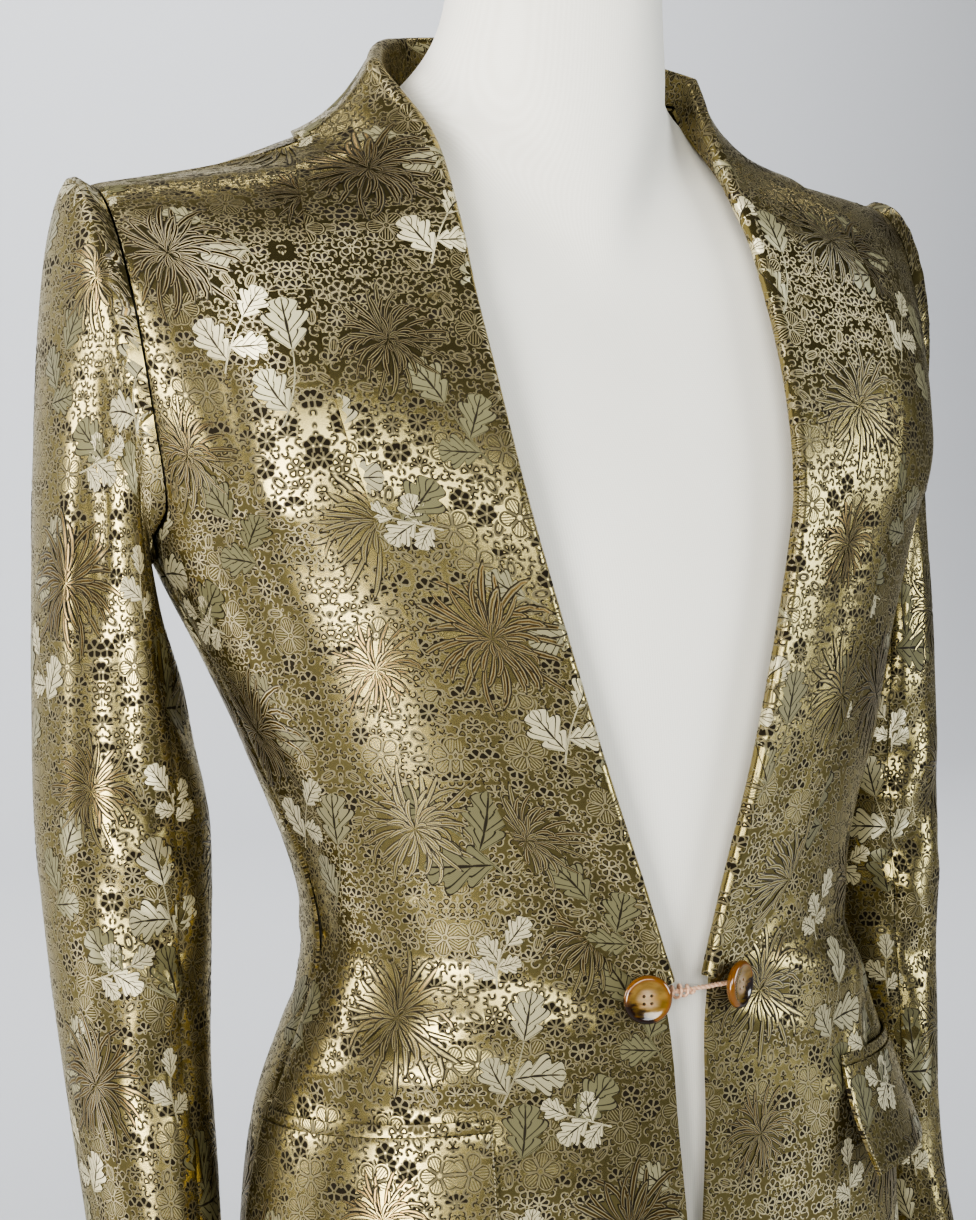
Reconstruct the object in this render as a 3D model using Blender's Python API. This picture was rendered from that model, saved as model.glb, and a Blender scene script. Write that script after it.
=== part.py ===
"""Day coat with a shawl collar and a link front, on a limbless dress form.

Metres, +Z up. The origin is on the floor under the middle of the round base. The front faces -Y
and +X is the wearer's left. The tables give heights from the nape, where the collar seam crosses
the centre back, and they describe the wearer's left half: the right half is its mirror image.
"""
import math

import bmesh
import bpy
import numpy as np

for old in list(bpy.data.objects):
    bpy.data.objects.remove(old, do_unlink=True)

# Driving dimensions
NAPE_HEIGHT = 0.905
WALL = 0.0022           # brocade, interlining and lining together
SEAM = 0.0003           # space between pieces that are sewn together
LAID = 0.0009           # space under a piece that lies on a panel
SEAM_U = 0.0006         # the same half seam, as a share of a body row
SEAM_AT = 0.012         # the same half seam at the shoulder, in rows
ROLL_RADIUS = 0.0032    # bend of the collar at its roll line
LINK_HEIGHT = -0.455
LINK_RADIUS = 0.0012
BASE_RADIUS = 0.170
BASE_THICKNESS = 0.018
POLE_RADIUS = 0.016
FORM_BOTTOM = -0.745
NECK_TOP = 0.085

# The body's cross-sections. Each row runs from its centre end (c) to its side end (s), which is the
# side seam up to the underarm, then the armhole, and the shoulder seam is the last row. turn is the
# row's heading there in degrees from straight across, drop its fall for each metre across, and
# reach the length of its handles.
FRONT = {
    # name       at, zc,  xc,  yc,    zs,    xs,     ys,   turn_c, drop_c, turn_s, drop_s, reach
    "hem":      (0, -.760, 0, -.166, -.752, .1990, -.040, 0, 0, 90, 0, .60),
    "hip":      (1, -.620, 0, -.163, -.620, .1910, -.042, 0, 0, 90, 0, .60),
    "high hip": (2, -.530, 0, -.161, -.530, .1805, -.044, 0, 0, 90, 0, .60),
    "waist":    (3, -.437, 0, -.155, -.437, .1505, -.045, 0, 0, 90, 0, .60),
    "rib":      (4, -.340, 0, -.155, -.340, .1765, -.036, 0, 0, 90, 0, .62),
    "underarm": (5, -.245, 0, -.150, -.245, .2150, -.012, 0, 0, 90, 0, .64),
    "scye 1":   (6, -.205, 0, -.141, -.215, .2185, -.040, 0, 0, 80, 0, .62),
    "scye 2":   (7, -.160, 0, -.124, -.170, .2255, -.047, 0, 0, 68, 0, .58),
    "scye 3":   (8, -.115, 0, -.103, -.122, .2300, -.040, 0, 0, 56, 0, .50),
    "scye 4":   (9, -.080, .018, -.086, -.084, .2330, -.024, 0, 0, 42, .05, .42),
    "scye 5":   (10, -.037, .055, -.052, -.063, .2345, -.005, 0, .25, 25, .15, .38),
    "shoulder": (11, -.008, .086, -.012, -.0555, .2350, .015, 5, .70, 10, .16, .36),
}
BACK = {
    # name       at, zc,  xc,  yc,    zs,    xs,     ys,   turn_c, drop_c, turn_s, drop_s, reach
    "hem":      (0, -.760, 0, .087, -.752, .1990, -.040, 0, 0, 90, 0, .60),
    "hip":      (1, -.620, 0, .087, -.620, .1910, -.042, 0, 0, 90, 0, .60),
    "high hip": (2, -.530, 0, .080, -.530, .1805, -.044, 0, 0, 90, 0, .60),
    "waist":    (3, -.437, 0, .070, -.437, .1505, -.045, 0, 0, 90, 0, .60),
    "rib":      (4, -.340, 0, .078, -.340, .1765, -.036, 0, 0, 90, 0, .62),
    "underarm": (5, -.245, 0, .100, -.245, .2150, -.012, 0, 0, 90, 0, .62),
    "scye 1":   (6, -.200, 0, .106, -.220, .2170, .030, 0, 0, 80, 0, .60),
    "scye 2":   (7, -.150, 0, .108, -.175, .2200, .056, 0, 0, 62, 0, .52),
    "scye 3":   (8, -.095, 0, .103, -.128, .2240, .064, 0, 0, 45, 0, .46),
    "scye 4":   (9, -.040, 0, .087, -.092, .2290, .056, 0, 0, 32, .05, .40),
    "nape":     (10, .000, 0, .062, -.071, .2325, .043, 0, .10, 22, .15, .38),
    "scye 5":   (11, .002, .056, .038, -.060, .2340, .030, 0, .45, 15, .16, .36),
    "shoulder": (12, -.008, .086, -.012, -.0555, .2350, .015, -5, .70, -10, .16, .36),
}
FRONT_TOP, BACK_TOP, NAPE, UNDERARM, BREAK = 11, 12, 10, 5, 2.85
SIDE_SEAM = dict(list(FRONT.items())[:UNDERARM + 1])    # both panels share its line

# The front's edge, which is the roll line above the break, and the lapel's outer edge, both as
# distances from the centre, with the collar's stand and its lean in degrees.
LAPEL = {
    # name        at, roll, edge,  stand, lean
    "hem corner": (0, .046, .090, .0015, 0),
    "corner 1":   (.07, .022, .070, .0015, 0),
    "corner 2":   (.18, .010, .055, .0015, 0),
    "corner 3":   (.35, .004, .045, .0015, 0),
    "hip":        (1, .003, .040, .0015, 0),
    "high hip":   (2, .008, .036, .0015, 0),
    "break":      (2.85, .0145, .0250, .0015, 0),
    "waist":      (3, .0185, .0410, .0015, 0),
    "rib":        (4, .0490, .1026, .0015, 0),
    "underarm":   (5, .0745, .1380, .0015, 0),
    "scye 1":     (6, .0825, .1490, .0015, 0),
    "scye 2":     (7, .0870, .1590, .0015, 0),
    "scye 3":     (8, .0890, .1605, .0020, 5),
    "scye 4":     (9, .0885, .1550, .0040, 20),
    "scye 5":     (10, .0860, .1465, .0090, 50),
    "shoulder":   (11, .0862, .1320, .0140, 76),
}
# The collar behind the shoulder seam: where its seam and its outer edge lie on the back, as rows
# and shares of a row, from the shoulder seam to the centre back.
FALL = {
    # name         at, seam_at, edge_at, edge_u, stand, lean
    "shoulder":    (0, 12.0, 12.0, .314, .0140, 76),
    "side":        (1, 11.5, 10.95, .330, .0190, 70),
    "quarter":     (2, 11.0, 9.85, .335, .0230, 60),
    "near centre": (3, 10.5, 9.38, .170, .0255, 48),
    "centre back": (4, 10.0, 9.15, .000, .0260, 40),
}

# The sleeve's rings: outer and under edge as distances from the centre and heights, the ring's
# middle and half depth from front to back, and how far it still follows the armhole's shape.
SLEEVE = {
    # name      at, outer_x, outer_z, under_x, under_z, middle_y, half_depth, scye
    "armhole": (0, .2350, -.0555, .2130, -.245, .010, .0550, 1.0),
    "head":    (1, .2445, -.0520, .2180, -.252, .015, .0580, .75),
    "cap 1":   (2, .2505, -.0690, .2180, -.259, .020, .0600, .45),
    "cap 2":   (3, .2545, -.0960, .2150, -.267, .025, .0610, .22),
    "cap 3":   (4, .2578, -.1350, .2105, -.277, .029, .0615, .08),
    "cap 4":   (5, .2615, -.1850, .2050, -.290, .031, .0620, 0),
    "biceps":  (6, .2655, -.2450, .1975, -.308, .030, .0620, 0),
    "upper":   (7, .2690, -.3100, .1906, -.338, .028, .0615, 0),
    "elbow 1": (8, .2715, -.3750, .1850, -.380, .025, .0600, 0),
    "elbow 2": (9, .2695, -.4350, .1872, -.435, .020, .0575, 0),
    "forearm": (10, .2646, -.5050, .1920, -.505, .014, .0540, 0),
    "lower":   (11, .2575, -.6000, .1935, -.600, .001, .0505, 0),
    "cuff":    (12, .2580, -.6850, .2030, -.685, -.018, .0475, 0),
}

# The sleeve's largest folds: their place in rings and degrees round from the outer edge, their
# spread in each direction, their slope in degrees for each ring, and their depth.
SLEEVE_FOLDS = {
    # name            at, round, tall, wide, slope, depth
    "front break 1": (7.9, 100, .34, 34, 14, .0042),
    "front break 2": (8.8, 92, .30, 38, 16, .0055),
    "front break 3": (9.7, 98, .28, 32, -12, .0045),
    "inner drag":    (6.6, 128, .50, 26, 26, .0040),
    "back ease":     (9.2, 270, .40, 36, -10, .0035),
    "cap dent":      (3.4, 72, .90, 13, 8, .0022),
}

POCKET_TOP, POCKET_SLANT = -.514, .010
POCKET_START, POCKET_WIDTH = .100, .142
FLAP_DEPTH, FLAP_WALL = .055, .0024
JETTING_DEPTH, JETTING_WALL = .006, .0014
FLAP_FLARE = {"right": (.0015, .0015), "left": (.0190, .0060)}   # at the front and back corners


def along(table, at):
    """Every column of a table at a place between its rows, on a smooth curve through the rows."""
    rows = np.array(list(table.values()), float)
    place, values = rows[:, 0], rows[:, 1:]
    slopes = np.gradient(values, place, axis=0)
    i = int(np.clip(np.searchsorted(place, at, side="right") - 1, 0, len(place) - 2))
    step = place[i + 1] - place[i]
    t = (at - place[i]) / step
    return ((2 * t**3 - 3 * t**2 + 1) * values[i] + (t**3 - 2 * t**2 + t) * step * slopes[i]
            + (3 * t**2 - 2 * t**3) * values[i + 1] + (t**3 - t**2) * step * slopes[i + 1])


def body(table, at, u):
    """A point on the body's outer face. u runs from the centre end of the row to its side end."""
    zc, xc, yc, zs, xs, ys, turn_c, drop_c, turn_s, drop_s, reach = along(table, at)
    if at < UNDERARM:
        zs, xs, ys = along(SIDE_SEAM, at)[3:6]
    wrap = 1 if table is FRONT else -1
    start, end = np.array([max(xc, 0), yc, zc]), np.array([xs, ys, zs])
    across, deep = abs(xs - xc), abs(ys - yc)
    handles = []
    for turn, drop in ((math.radians(turn_c), drop_c), (math.radians(turn_s), drop_s)):
        length = reach * (across * math.cos(turn) + deep * math.sin(turn))
        handles.append(length * np.array([math.cos(turn), wrap * math.sin(turn), -drop]))
    first, second = start + handles[0], end - handles[1]
    return (1 - u)**3 * start + 3 * (1 - u)**2 * u * first + 3 * (1 - u) * u**2 * second + u**3 * end


def body_normal(table, at, u):
    """The outward direction there. The two sides of the shoulder seam share theirs."""
    top = FRONT_TOP if table is FRONT else BACK_TOP
    if at > top - 2 * SEAM_AT:
        both = [face_normal(t, end - 0.02, u) for t, end in ((FRONT, FRONT_TOP), (BACK, BACK_TOP))]
        return unit(both[0] + both[1])
    normal = face_normal(table, at, u)
    if table is BACK and at <= NAPE and u <= SEAM_U:
        normal[0] = 0
    return unit(normal)


def face_normal(table, at, u):
    """The outward direction of a panel by itself."""
    step = 0.004
    low, high = max(u - step, 0), min(u + step, 1)
    sideways = body(table, at, high) - body(table, at, low)
    upward = body(table, at + step, u) - body(table, at - step, u)
    normal = np.cross(sideways, upward)
    return unit(normal if table is FRONT else -normal)


def unit(vector):
    return vector / np.linalg.norm(vector)


def share_at(table, at, x):
    """The share of a body row at which it is x from the centre."""
    shares = np.linspace(0, 1, 81)
    return float(np.interp(x, [body(table, at, u)[0] for u in shares], shares))


def share_along(table, at, start, length):
    """The share of a body row that lies a length further round it."""
    shares = np.linspace(start, 1, 61)
    points = np.array([body(table, at, u) for u in shares])
    run = np.concatenate([[0], np.cumsum(np.linalg.norm(np.diff(points, axis=0), axis=1))])
    return float(np.interp(length, run, shares))


def row_at_height(z):
    """The body row, below the underarm, that lies at a height."""
    rows = np.array(list(FRONT.values()), float)[:UNDERARM + 1]
    return float(np.interp(z, rows[:, 1], rows[:, 0]))


def finish(name, mesh_data, colour, roughness, metallic=0.0, mirror=False, smooth=60):
    """A named object with its own material from vertices and faces given from the nape."""
    points, faces = mesh_data
    points = np.array(points, float)
    points[:, 2] += NAPE_HEIGHT
    if mirror:
        points[:, 0] *= -1
    mesh = bpy.data.meshes.new(name)
    mesh.from_pydata(points.tolist(), [], faces)
    bm = bmesh.new()
    bm.from_mesh(mesh)
    bmesh.ops.remove_doubles(bm, verts=bm.verts, dist=0.00001)
    bmesh.ops.triangulate(bm, faces=bm.faces, quad_method="SHORT_EDGE")
    bmesh.ops.recalc_face_normals(bm, faces=bm.faces)
    bm.to_mesh(mesh)
    bm.free()
    mesh.shade_smooth()
    mesh.set_sharp_from_angle(angle=math.radians(smooth))
    material = bpy.data.materials.new(name)
    material.use_nodes = True
    shader = material.node_tree.nodes["Principled BSDF"]
    shader.inputs["Base Color"].default_value = (*colour, 1)
    shader.inputs["Roughness"].default_value = roughness
    shader.inputs["Metallic"].default_value = metallic
    mesh.materials.append(material)
    thing = bpy.data.objects.new(name, mesh)
    bpy.context.collection.objects.link(thing)
    return thing


def wall(outer, inner):
    """A closed wall between two grids of points of the same size."""
    outer, inner = np.asarray(outer), np.asarray(inner)
    rows, columns = outer.shape[:2]
    points = np.concatenate([outer.reshape(-1, 3), inner.reshape(-1, 3)])
    count = rows * columns

    def index(i, j, side):
        return side * count + i * columns + j
    faces = []
    for i in range(rows - 1):
        for j in range(columns - 1):
            for side in (0, 1):
                faces.append([index(i, j, side), index(i, j + 1, side),
                              index(i + 1, j + 1, side), index(i + 1, j, side)])
    rim = [(i, 0) for i in range(rows)] + [(rows - 1, j) for j in range(1, columns)]
    rim += [(i, columns - 1) for i in range(rows - 2, -1, -1)] + [(0, j) for j in range(columns - 2, 0, -1)]
    for (i, j), (k, m) in zip(rim, rim[1:] + rim[:1]):
        faces.append([index(i, j, 0), index(k, m, 0), index(k, m, 1), index(i, j, 1)])
    return points, faces


def panel(table, rows, shares_of):
    """A wall inside the body's outer face. shares_of gives the columns of a row."""
    outer, inner = [], []
    for at in rows:
        shares = shares_of(at)
        place = np.array([body(table, at, u) for u in shares])
        normal = np.array([body_normal(table, at, u) for u in shares])
        outer.append(place)
        inner.append(place - normal * WALL)
    return wall(outer, inner)


def front_shares(at):
    """A front row's columns: some from its edge to under the lapel, and the rest to its side."""
    roll, edge = along(LAPEL, at)[:2]
    start, middle = share_at(FRONT, at, roll), share_at(FRONT, at, edge)
    return np.concatenate([np.linspace(start, middle, 5), np.linspace(middle, 1 - SEAM_U, 8)[1:]])


def back_shares(at):
    """Even steps below, which become the front's own steps at the shoulder seam."""
    level = np.linspace(SEAM_U, 1 - SEAM_U, 12)
    blend = np.clip((at - NAPE + 1) / (BACK_TOP - NAPE + 1), 0, 1)
    top = front_shares(FRONT_TOP)
    top[0] = SEAM_U
    return level + blend * (top - level)


def armhole(turn):
    """A point on the armhole, from the shoulder point forward, down, under and up the back."""
    share = (turn / (2 * math.pi)) % 1
    return np.array([np.interp(share, ARMHOLE_RUN, ARMHOLE_POINTS[:, k]) for k in range(3)])


def armhole_outline():
    """The armhole's corners, one for each row of the front and then of the back, and their shares."""
    rows = [(FRONT, at) for at in np.arange(FRONT_TOP, UNDERARM, -.5)]
    rows += [(BACK, at) for at in np.arange(UNDERARM, BACK_TOP + .1, .5)]
    points = np.array([body(table, at, 1) for table, at in rows])
    run = np.concatenate([[0], np.cumsum(np.linalg.norm(np.diff(points, axis=0), axis=1))])
    under = 2 * (FRONT_TOP - UNDERARM)
    front, back = run[:under] / run[under] / 2, .5 + (run[under:] - run[under]) / (run[-1] - run[under]) / 2
    return np.concatenate([front, back]), points


ARMHOLE_RUN, ARMHOLE_POINTS = armhole_outline()
FRONT_SEAM, BACK_SEAM = 8, 17       # the sleeve's seams, as corners of the armhole


def sleeve_ring(values, turn):
    """A point on a plain oval ring of the sleeve."""
    outer_x, outer_z, under_x, under_z, middle_y, half_depth, _scye = values
    middle = np.array([(outer_x + under_x) / 2, middle_y, (outer_z + under_z) / 2])
    sideways = np.array([(outer_x - under_x) / 2, 0, (outer_z - under_z) / 2])
    return middle + math.cos(turn) * sideways - math.sin(turn) * np.array([0, half_depth, 0])


def sleeve(at, turn):
    """A point on the sleeve's outer face. turn runs from the outer edge round by the front."""
    values = along(SLEEVE, at)
    armhole_ring = along(SLEEVE, 0)
    follow = max(values[6], 0)
    point = sleeve_ring(values, turn) + follow * (armhole(turn) - sleeve_ring(armhole_ring, turn))
    return point + np.array([2 * SEAM * min(at + 0.9, 1), 0, 0])


def sleeve_normal(at, turn):
    """The outward direction of the sleeve."""
    step = 0.02
    low, high = max(at - step, 0), min(at + step, 12)
    down = sleeve(high, turn) - sleeve(low, turn)
    around = sleeve(at, turn + step) - sleeve(at, turn - step)
    return unit(np.cross(around, down))


def fold_depth(at, turn):
    """How deep the sleeve's folds go there."""
    depth = 0
    for place, around, tall, wide, slope, deep in SLEEVE_FOLDS.values():
        beside = (math.degrees(turn) % 360 - around + 180) % 360 - 180
        above = at - place - beside / 60 * slope / 30
        depth += deep * math.exp(-(above / tall)**2 - (beside / wide)**2)
    return depth


def sleeve_piece(turns):
    """The stretch of the sleeve between its first turn and its last, which are seams."""
    outer, inner = [], []
    for at in SLEEVE_RINGS:
        sewn = np.array(turns)
        for end, side in ((0, 1), (-1, -1)):
            speed = np.linalg.norm(sleeve(at, turns[end] + .02) - sleeve(at, turns[end] - .02)) / .04
            sewn[end] += side * 0.7 * SEAM / speed
        place = np.array([sleeve(at, turn) for turn in sewn])
        normal = np.array([sleeve_normal(at, turn) for turn in turns])
        depth = np.array([fold_depth(at, turn) for turn in turns])[:, None]
        outer.append(place - normal * depth)
        inner.append(place - normal * (depth + WALL))
    return wall(outer, inner)


def collar_section(table, seam, edge, along_seam, stand, lean):
    """One section through the collar's middle layer, from its seam over the roll to its outer edge."""
    place, normal = body(table, *seam), body_normal(table, *seam)
    side = np.cross(along_seam, normal)
    side = unit(side if side @ (body(table, *edge) - place) > 0 else -side)
    tilt = math.radians(lean)
    up = math.sin(tilt) * normal - math.cos(tilt) * side
    out = math.cos(tilt) * normal + math.sin(tilt) * side
    start = place - normal * WALL / 2 * math.cos(tilt) + up * 3 * SEAM
    points = [start + up * stand * share for share in (0, .5)]
    centre = start + up * stand + out * ROLL_RADIUS
    for angle in np.radians((0, 60, 120, 180)):
        points.append(centre + ROLL_RADIUS * (math.sin(angle) * up - math.cos(angle) * out))
    rise = points[-1] - (place + normal * (LAID + WALL / 2))
    for share in np.linspace(0, 1, 7)[1:]:
        at, u = np.array(seam) + share * (np.array(edge) - np.array(seam))
        laid = body(table, at, u) + face_normal(table, min(at, 10.98 if table is FRONT else 11.98), u) \
            * (LAID + WALL / 2)
        points.append(laid + (1 - share)**2 * rise)
    return points


def collar_stations():
    """The collar's sections from the break up the lapel and round to the centre back."""
    stations = []
    for at in (row for row in (*FRONT_ROWS[:-1], FRONT_TOP) if row >= BREAK):
        roll, edge, stand, lean = along(LAPEL, at)
        seam, outer_edge = (at, share_at(FRONT, at, roll)), (at, share_at(FRONT, at, edge))
        stations.append((FRONT, seam, outer_edge, stand, lean))
    for step in np.linspace(0, 4, 9)[1:]:
        seam_at, edge_at, edge_u, stand, lean = along(FALL, step)
        stations.append((BACK, (seam_at, 0), (edge_at, max(edge_u, 0)), stand, lean))
    return stations


def collar():
    """One half of the collar, a wall round its middle layer."""
    stations = collar_stations()
    seams = np.array([body(table, *seam) for table, seam, *_rest in stations])
    tangents = np.gradient(seams, axis=0)
    tangents[-1] = (-1, 0, 0)
    middle = np.array([collar_section(table, seam, edge, unit(tangent), stand, lean)
                       for (table, seam, edge, stand, lean), tangent in zip(stations, tangents)])
    across = np.gradient(middle, axis=0)
    across[-1] = (-1, 0, 0)
    outward = np.cross(across, np.gradient(middle, axis=1))
    outward /= np.linalg.norm(outward, axis=2)[:, :, None]
    middle[-1, :, 0] = SEAM / 2
    return wall(middle + outward * WALL / 2, middle - outward * WALL / 2)


def pocket_piece(depths, thickness, lift):
    """A wall that lies along the pocket's mouth. lift gives how far each of its points stands off."""
    outer, inner = [], []
    for depth in depths:
        level = row_at_height(POCKET_TOP - depth)
        start = share_at(FRONT, level, POCKET_START)
        end = share_along(FRONT, level, start, POCKET_WIDTH)
        place, normal, rise = [], [], []
        for across in np.linspace(0, 1, 11):
            at, u = row_at_height(POCKET_TOP - depth - POCKET_SLANT * across), start + across * (end - start)
            place.append(body(FRONT, at, u))
            normal.append(face_normal(FRONT, at, u))
            rise.append(lift(depth, across))
        place, normal, rise = np.array(place), np.array(normal), np.array(rise)[:, None]
        outer.append(place + normal * (rise + thickness))
        inner.append(place + normal * rise)
    return wall(outer, inner)


def flap(side):
    """A flap that hangs from its jetting, with its corners standing off the front."""
    front_flare, back_flare = FLAP_FLARE[side]

    def lift(depth, across):
        flare = front_flare + (back_flare - front_flare) * across**0.7
        return LAID + (depth / FLAP_DEPTH)**1.6 * flare
    return pocket_piece(np.linspace(0, FLAP_DEPTH, 6), FLAP_WALL, lift)


def jetting():
    """The narrow bound edge over the pocket's mouth."""
    return pocket_piece((-SEAM, -JETTING_DEPTH), JETTING_WALL, lambda depth, across: LAID)


def turned(profile, sides, centre, axis):
    """A solid turned from (distance along the axis, radius) points round an axis."""
    axis = unit(np.array(axis, float))
    first = unit(np.cross(axis, (0, 0, 1)) if abs(axis[2]) < 0.9 else np.array([1., 0, 0]))
    second = np.cross(axis, first)
    points, faces = [], []
    for distance, radius in profile:
        for k in range(sides):
            angle = 2 * math.pi * k / sides
            points.append(np.array(centre) + axis * distance
                          + radius * (math.cos(angle) * first + math.sin(angle) * second))
    rings = len(profile)
    for i in range(rings - 1):
        for k in range(sides):
            m = (k + 1) % sides
            faces.append([i * sides + k, i * sides + m, (i + 1) * sides + m, (i + 1) * sides + k])
    faces.append(list(range(sides)))
    faces.append([(rings - 1) * sides + k for k in range(sides)])
    return points, faces


# The button's outline, from its back, as heights and radii
BUTTON_PROFILE = ((0, .0070), (.0006, .0102), (.0022, .0117), (.0036, .0120), (.0047, .0113),
                  (.0052, .0100), (.0046, .0078), (.0040, .0050), (.0039, .0024))
BUTTON_TURN = {"right": -16, "left": 31}     # degrees outward from straight ahead
BUTTON_OUT = {"right": .0240, "left": .0220}
BUTTON_GAP = .0058


def button_place(side):
    """The middle of a button's back, and the way that the button faces."""
    sign = -1 if side == "right" else 1
    at = row_at_height(LINK_HEIGHT)
    seat = body(FRONT, at, share_at(FRONT, at, BUTTON_OUT[side]))
    turn = math.radians(BUTTON_TURN[side])
    facing = np.array([math.sin(turn), -math.cos(turn), 0])
    return np.array([sign * seat[0], seat[1], seat[2]]) + facing * BUTTON_GAP, facing


def button(side):
    """A round button with a raised rim and four holes."""
    centre, facing = button_place(side)
    colour = (.30, .17, .06) if side == "right" else (.20, .10, .04)
    thing = finish(f"button_{side}", turned(BUTTON_PROFILE, 24, centre, facing), colour, .22, smooth=40)
    across = unit(np.cross(facing, (0, 0, 1)))
    for k, (x, z) in enumerate(((-1, -1), (1, -1), (1, 1), (-1, 1))):
        place = centre + .0019 * (x * across + z * np.array([0, 0, 1]))
        drill = finish(f"drill_{side}_{k}", turned(((-.002, .0008), (.008, .0008)), 8, place, facing),
                       colour, .5)
        drill.hide_render = True
        drill.display_type = "WIRE"
        cut = thing.modifiers.new(f"hole {k}", "BOOLEAN")
        cut.operation = "DIFFERENCE"
        cut.object = drill
    return thing


def link():
    """The thread between the buttons: a shank behind each and the wrapped strand across the gap."""
    route = []
    for side, inward in (("right", 1), ("left", -1)):
        centre, facing = button_place(side)
        toward = unit(np.cross(facing, (0, 0, inward)))
        behind = centre - facing * (LINK_RADIUS + 3 * SEAM)
        stretch = [behind - toward * .003, behind + toward * .004,
                   behind + np.array([inward * .011, 0, 0]) - facing * .0004]
        route += stretch if side == "right" else stretch[::-1]
    curve = bpy.data.curves.new("button_link", "CURVE")
    curve.dimensions = "3D"
    curve.bevel_depth = LINK_RADIUS
    curve.bevel_resolution = 2
    curve.use_fill_caps = True
    spline = curve.splines.new("POLY")
    smooth = smooth_route(np.array(route), 16)
    spline.points.add(len(smooth) - 1)
    for point, place in zip(spline.points, smooth):
        point.co = (*(place + np.array([0, 0, NAPE_HEIGHT])), 1)
    material = bpy.data.materials.new("button_link")
    material.use_nodes = True
    shader = material.node_tree.nodes["Principled BSDF"]
    shader.inputs["Base Color"].default_value = (.72, .45, .28, 1)
    shader.inputs["Roughness"].default_value = .7
    curve.materials.append(material)
    thing = bpy.data.objects.new("button_link", curve)
    bpy.context.collection.objects.link(thing)
    return thing


def smooth_route(points, count):
    """Points at even steps on a smooth curve through a route's own points."""
    table = {k: (k, *point) for k, point in enumerate(points)}
    return [along(table, at) for at in np.linspace(0, len(points) - 1, count)]


# The form: how far it lies inside the coat's wall on each body row
FORM = {
    # name       at, ease
    "hem":      (0, .010),
    "hip":      (1, .010),
    "high hip": (2, .009),
    "waist":    (3, .006),
    "rib":      (4, .009),
    "underarm": (5, .010),
    "chest":    (8, .009),
    "collar":   (10, .0045),
    "shoulder": (12, .0005),
}
# The form's neck: its height at the throat, the side and the nape, its half sizes and its middle
NECK = {
    # name    front_z, side_z, back_z, half_width, half_depth, middle_y
    "root":   (-.052, .012, .021, .0640, .0640, -.027),
    "slope":  (-.020, .026, .033, .0590, .0615, -.033),
    "throat": (.020, .042, .048, .0565, .0600, -.036),
    "middle": (.050, .060, .063, .0560, .0597, -.038),
    "top":    (NECK_TOP, NECK_TOP, NECK_TOP, .0555, .0595, -.040),
}
NECK_CAP = {
    "underside": (NECK_TOP + SEAM, NECK_TOP + SEAM, NECK_TOP + SEAM, .0545, .0585, -.040),
    "lower rim": (NECK_TOP + .0012, NECK_TOP + .0012, NECK_TOP + .0012, .0560, .0600, -.040),
    "upper rim": (NECK_TOP + .0070, NECK_TOP + .0070, NECK_TOP + .0070, .0560, .0600, -.040),
    "face":      (NECK_TOP + .0090, NECK_TOP + .0090, NECK_TOP + .0090, .0540, .0580, -.040),
}
POLE_PROFILE = ((BASE_THICKNESS + SEAM, POLE_RADIUS), (NAPE_HEIGHT + FORM_BOTTOM - SEAM, POLE_RADIUS))
BASE_PROFILE = ((0, BASE_RADIUS - .002), (.002, BASE_RADIUS), (.010, BASE_RADIUS),
                (.014, BASE_RADIUS - .004), (BASE_THICKNESS, BASE_RADIUS - .020))


def neck_point(values, angle):
    """A point on the neck. angle runs from the front round by the side to the nape."""
    front_z, side_z, back_z, half_width, half_depth, middle_y = values
    end_z = front_z if math.cos(angle) > 0 else back_z
    height = side_z + (end_z - side_z) * math.cos(angle)**2
    return np.array([half_width * math.sin(angle), middle_y - half_depth * math.cos(angle), height])


def form_shares(at):
    """A row's columns: even steps to the side seam below, and the front's own at the shoulder seam."""
    level = np.linspace(0, 1, 12)
    top = front_shares(FRONT_TOP)
    top[0] = 0
    blend = np.clip((at - UNDERARM) / 3, 0, 1)
    shares = level + blend * (top - level)
    return shares if at <= UNDERARM else shares[:-1]


def form_row(table, at):
    """A row of the form's points, inside the coat's wall."""
    top = FRONT_TOP if table is FRONT else BACK_TOP
    level = at if at <= UNDERARM else UNDERARM + (at - UNDERARM) * (BACK_TOP - UNDERARM) / (top - UNDERARM)
    ease = along(FORM, level)[0]
    row = [body(table, at, u) - body_normal(table, at, u) * (WALL + ease) for u in form_shares(at)]
    if at == FORM_ROWS[0]:
        row = [np.array([x, y, FORM_BOTTOM]) for x, y, _z in row]
    return row


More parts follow.
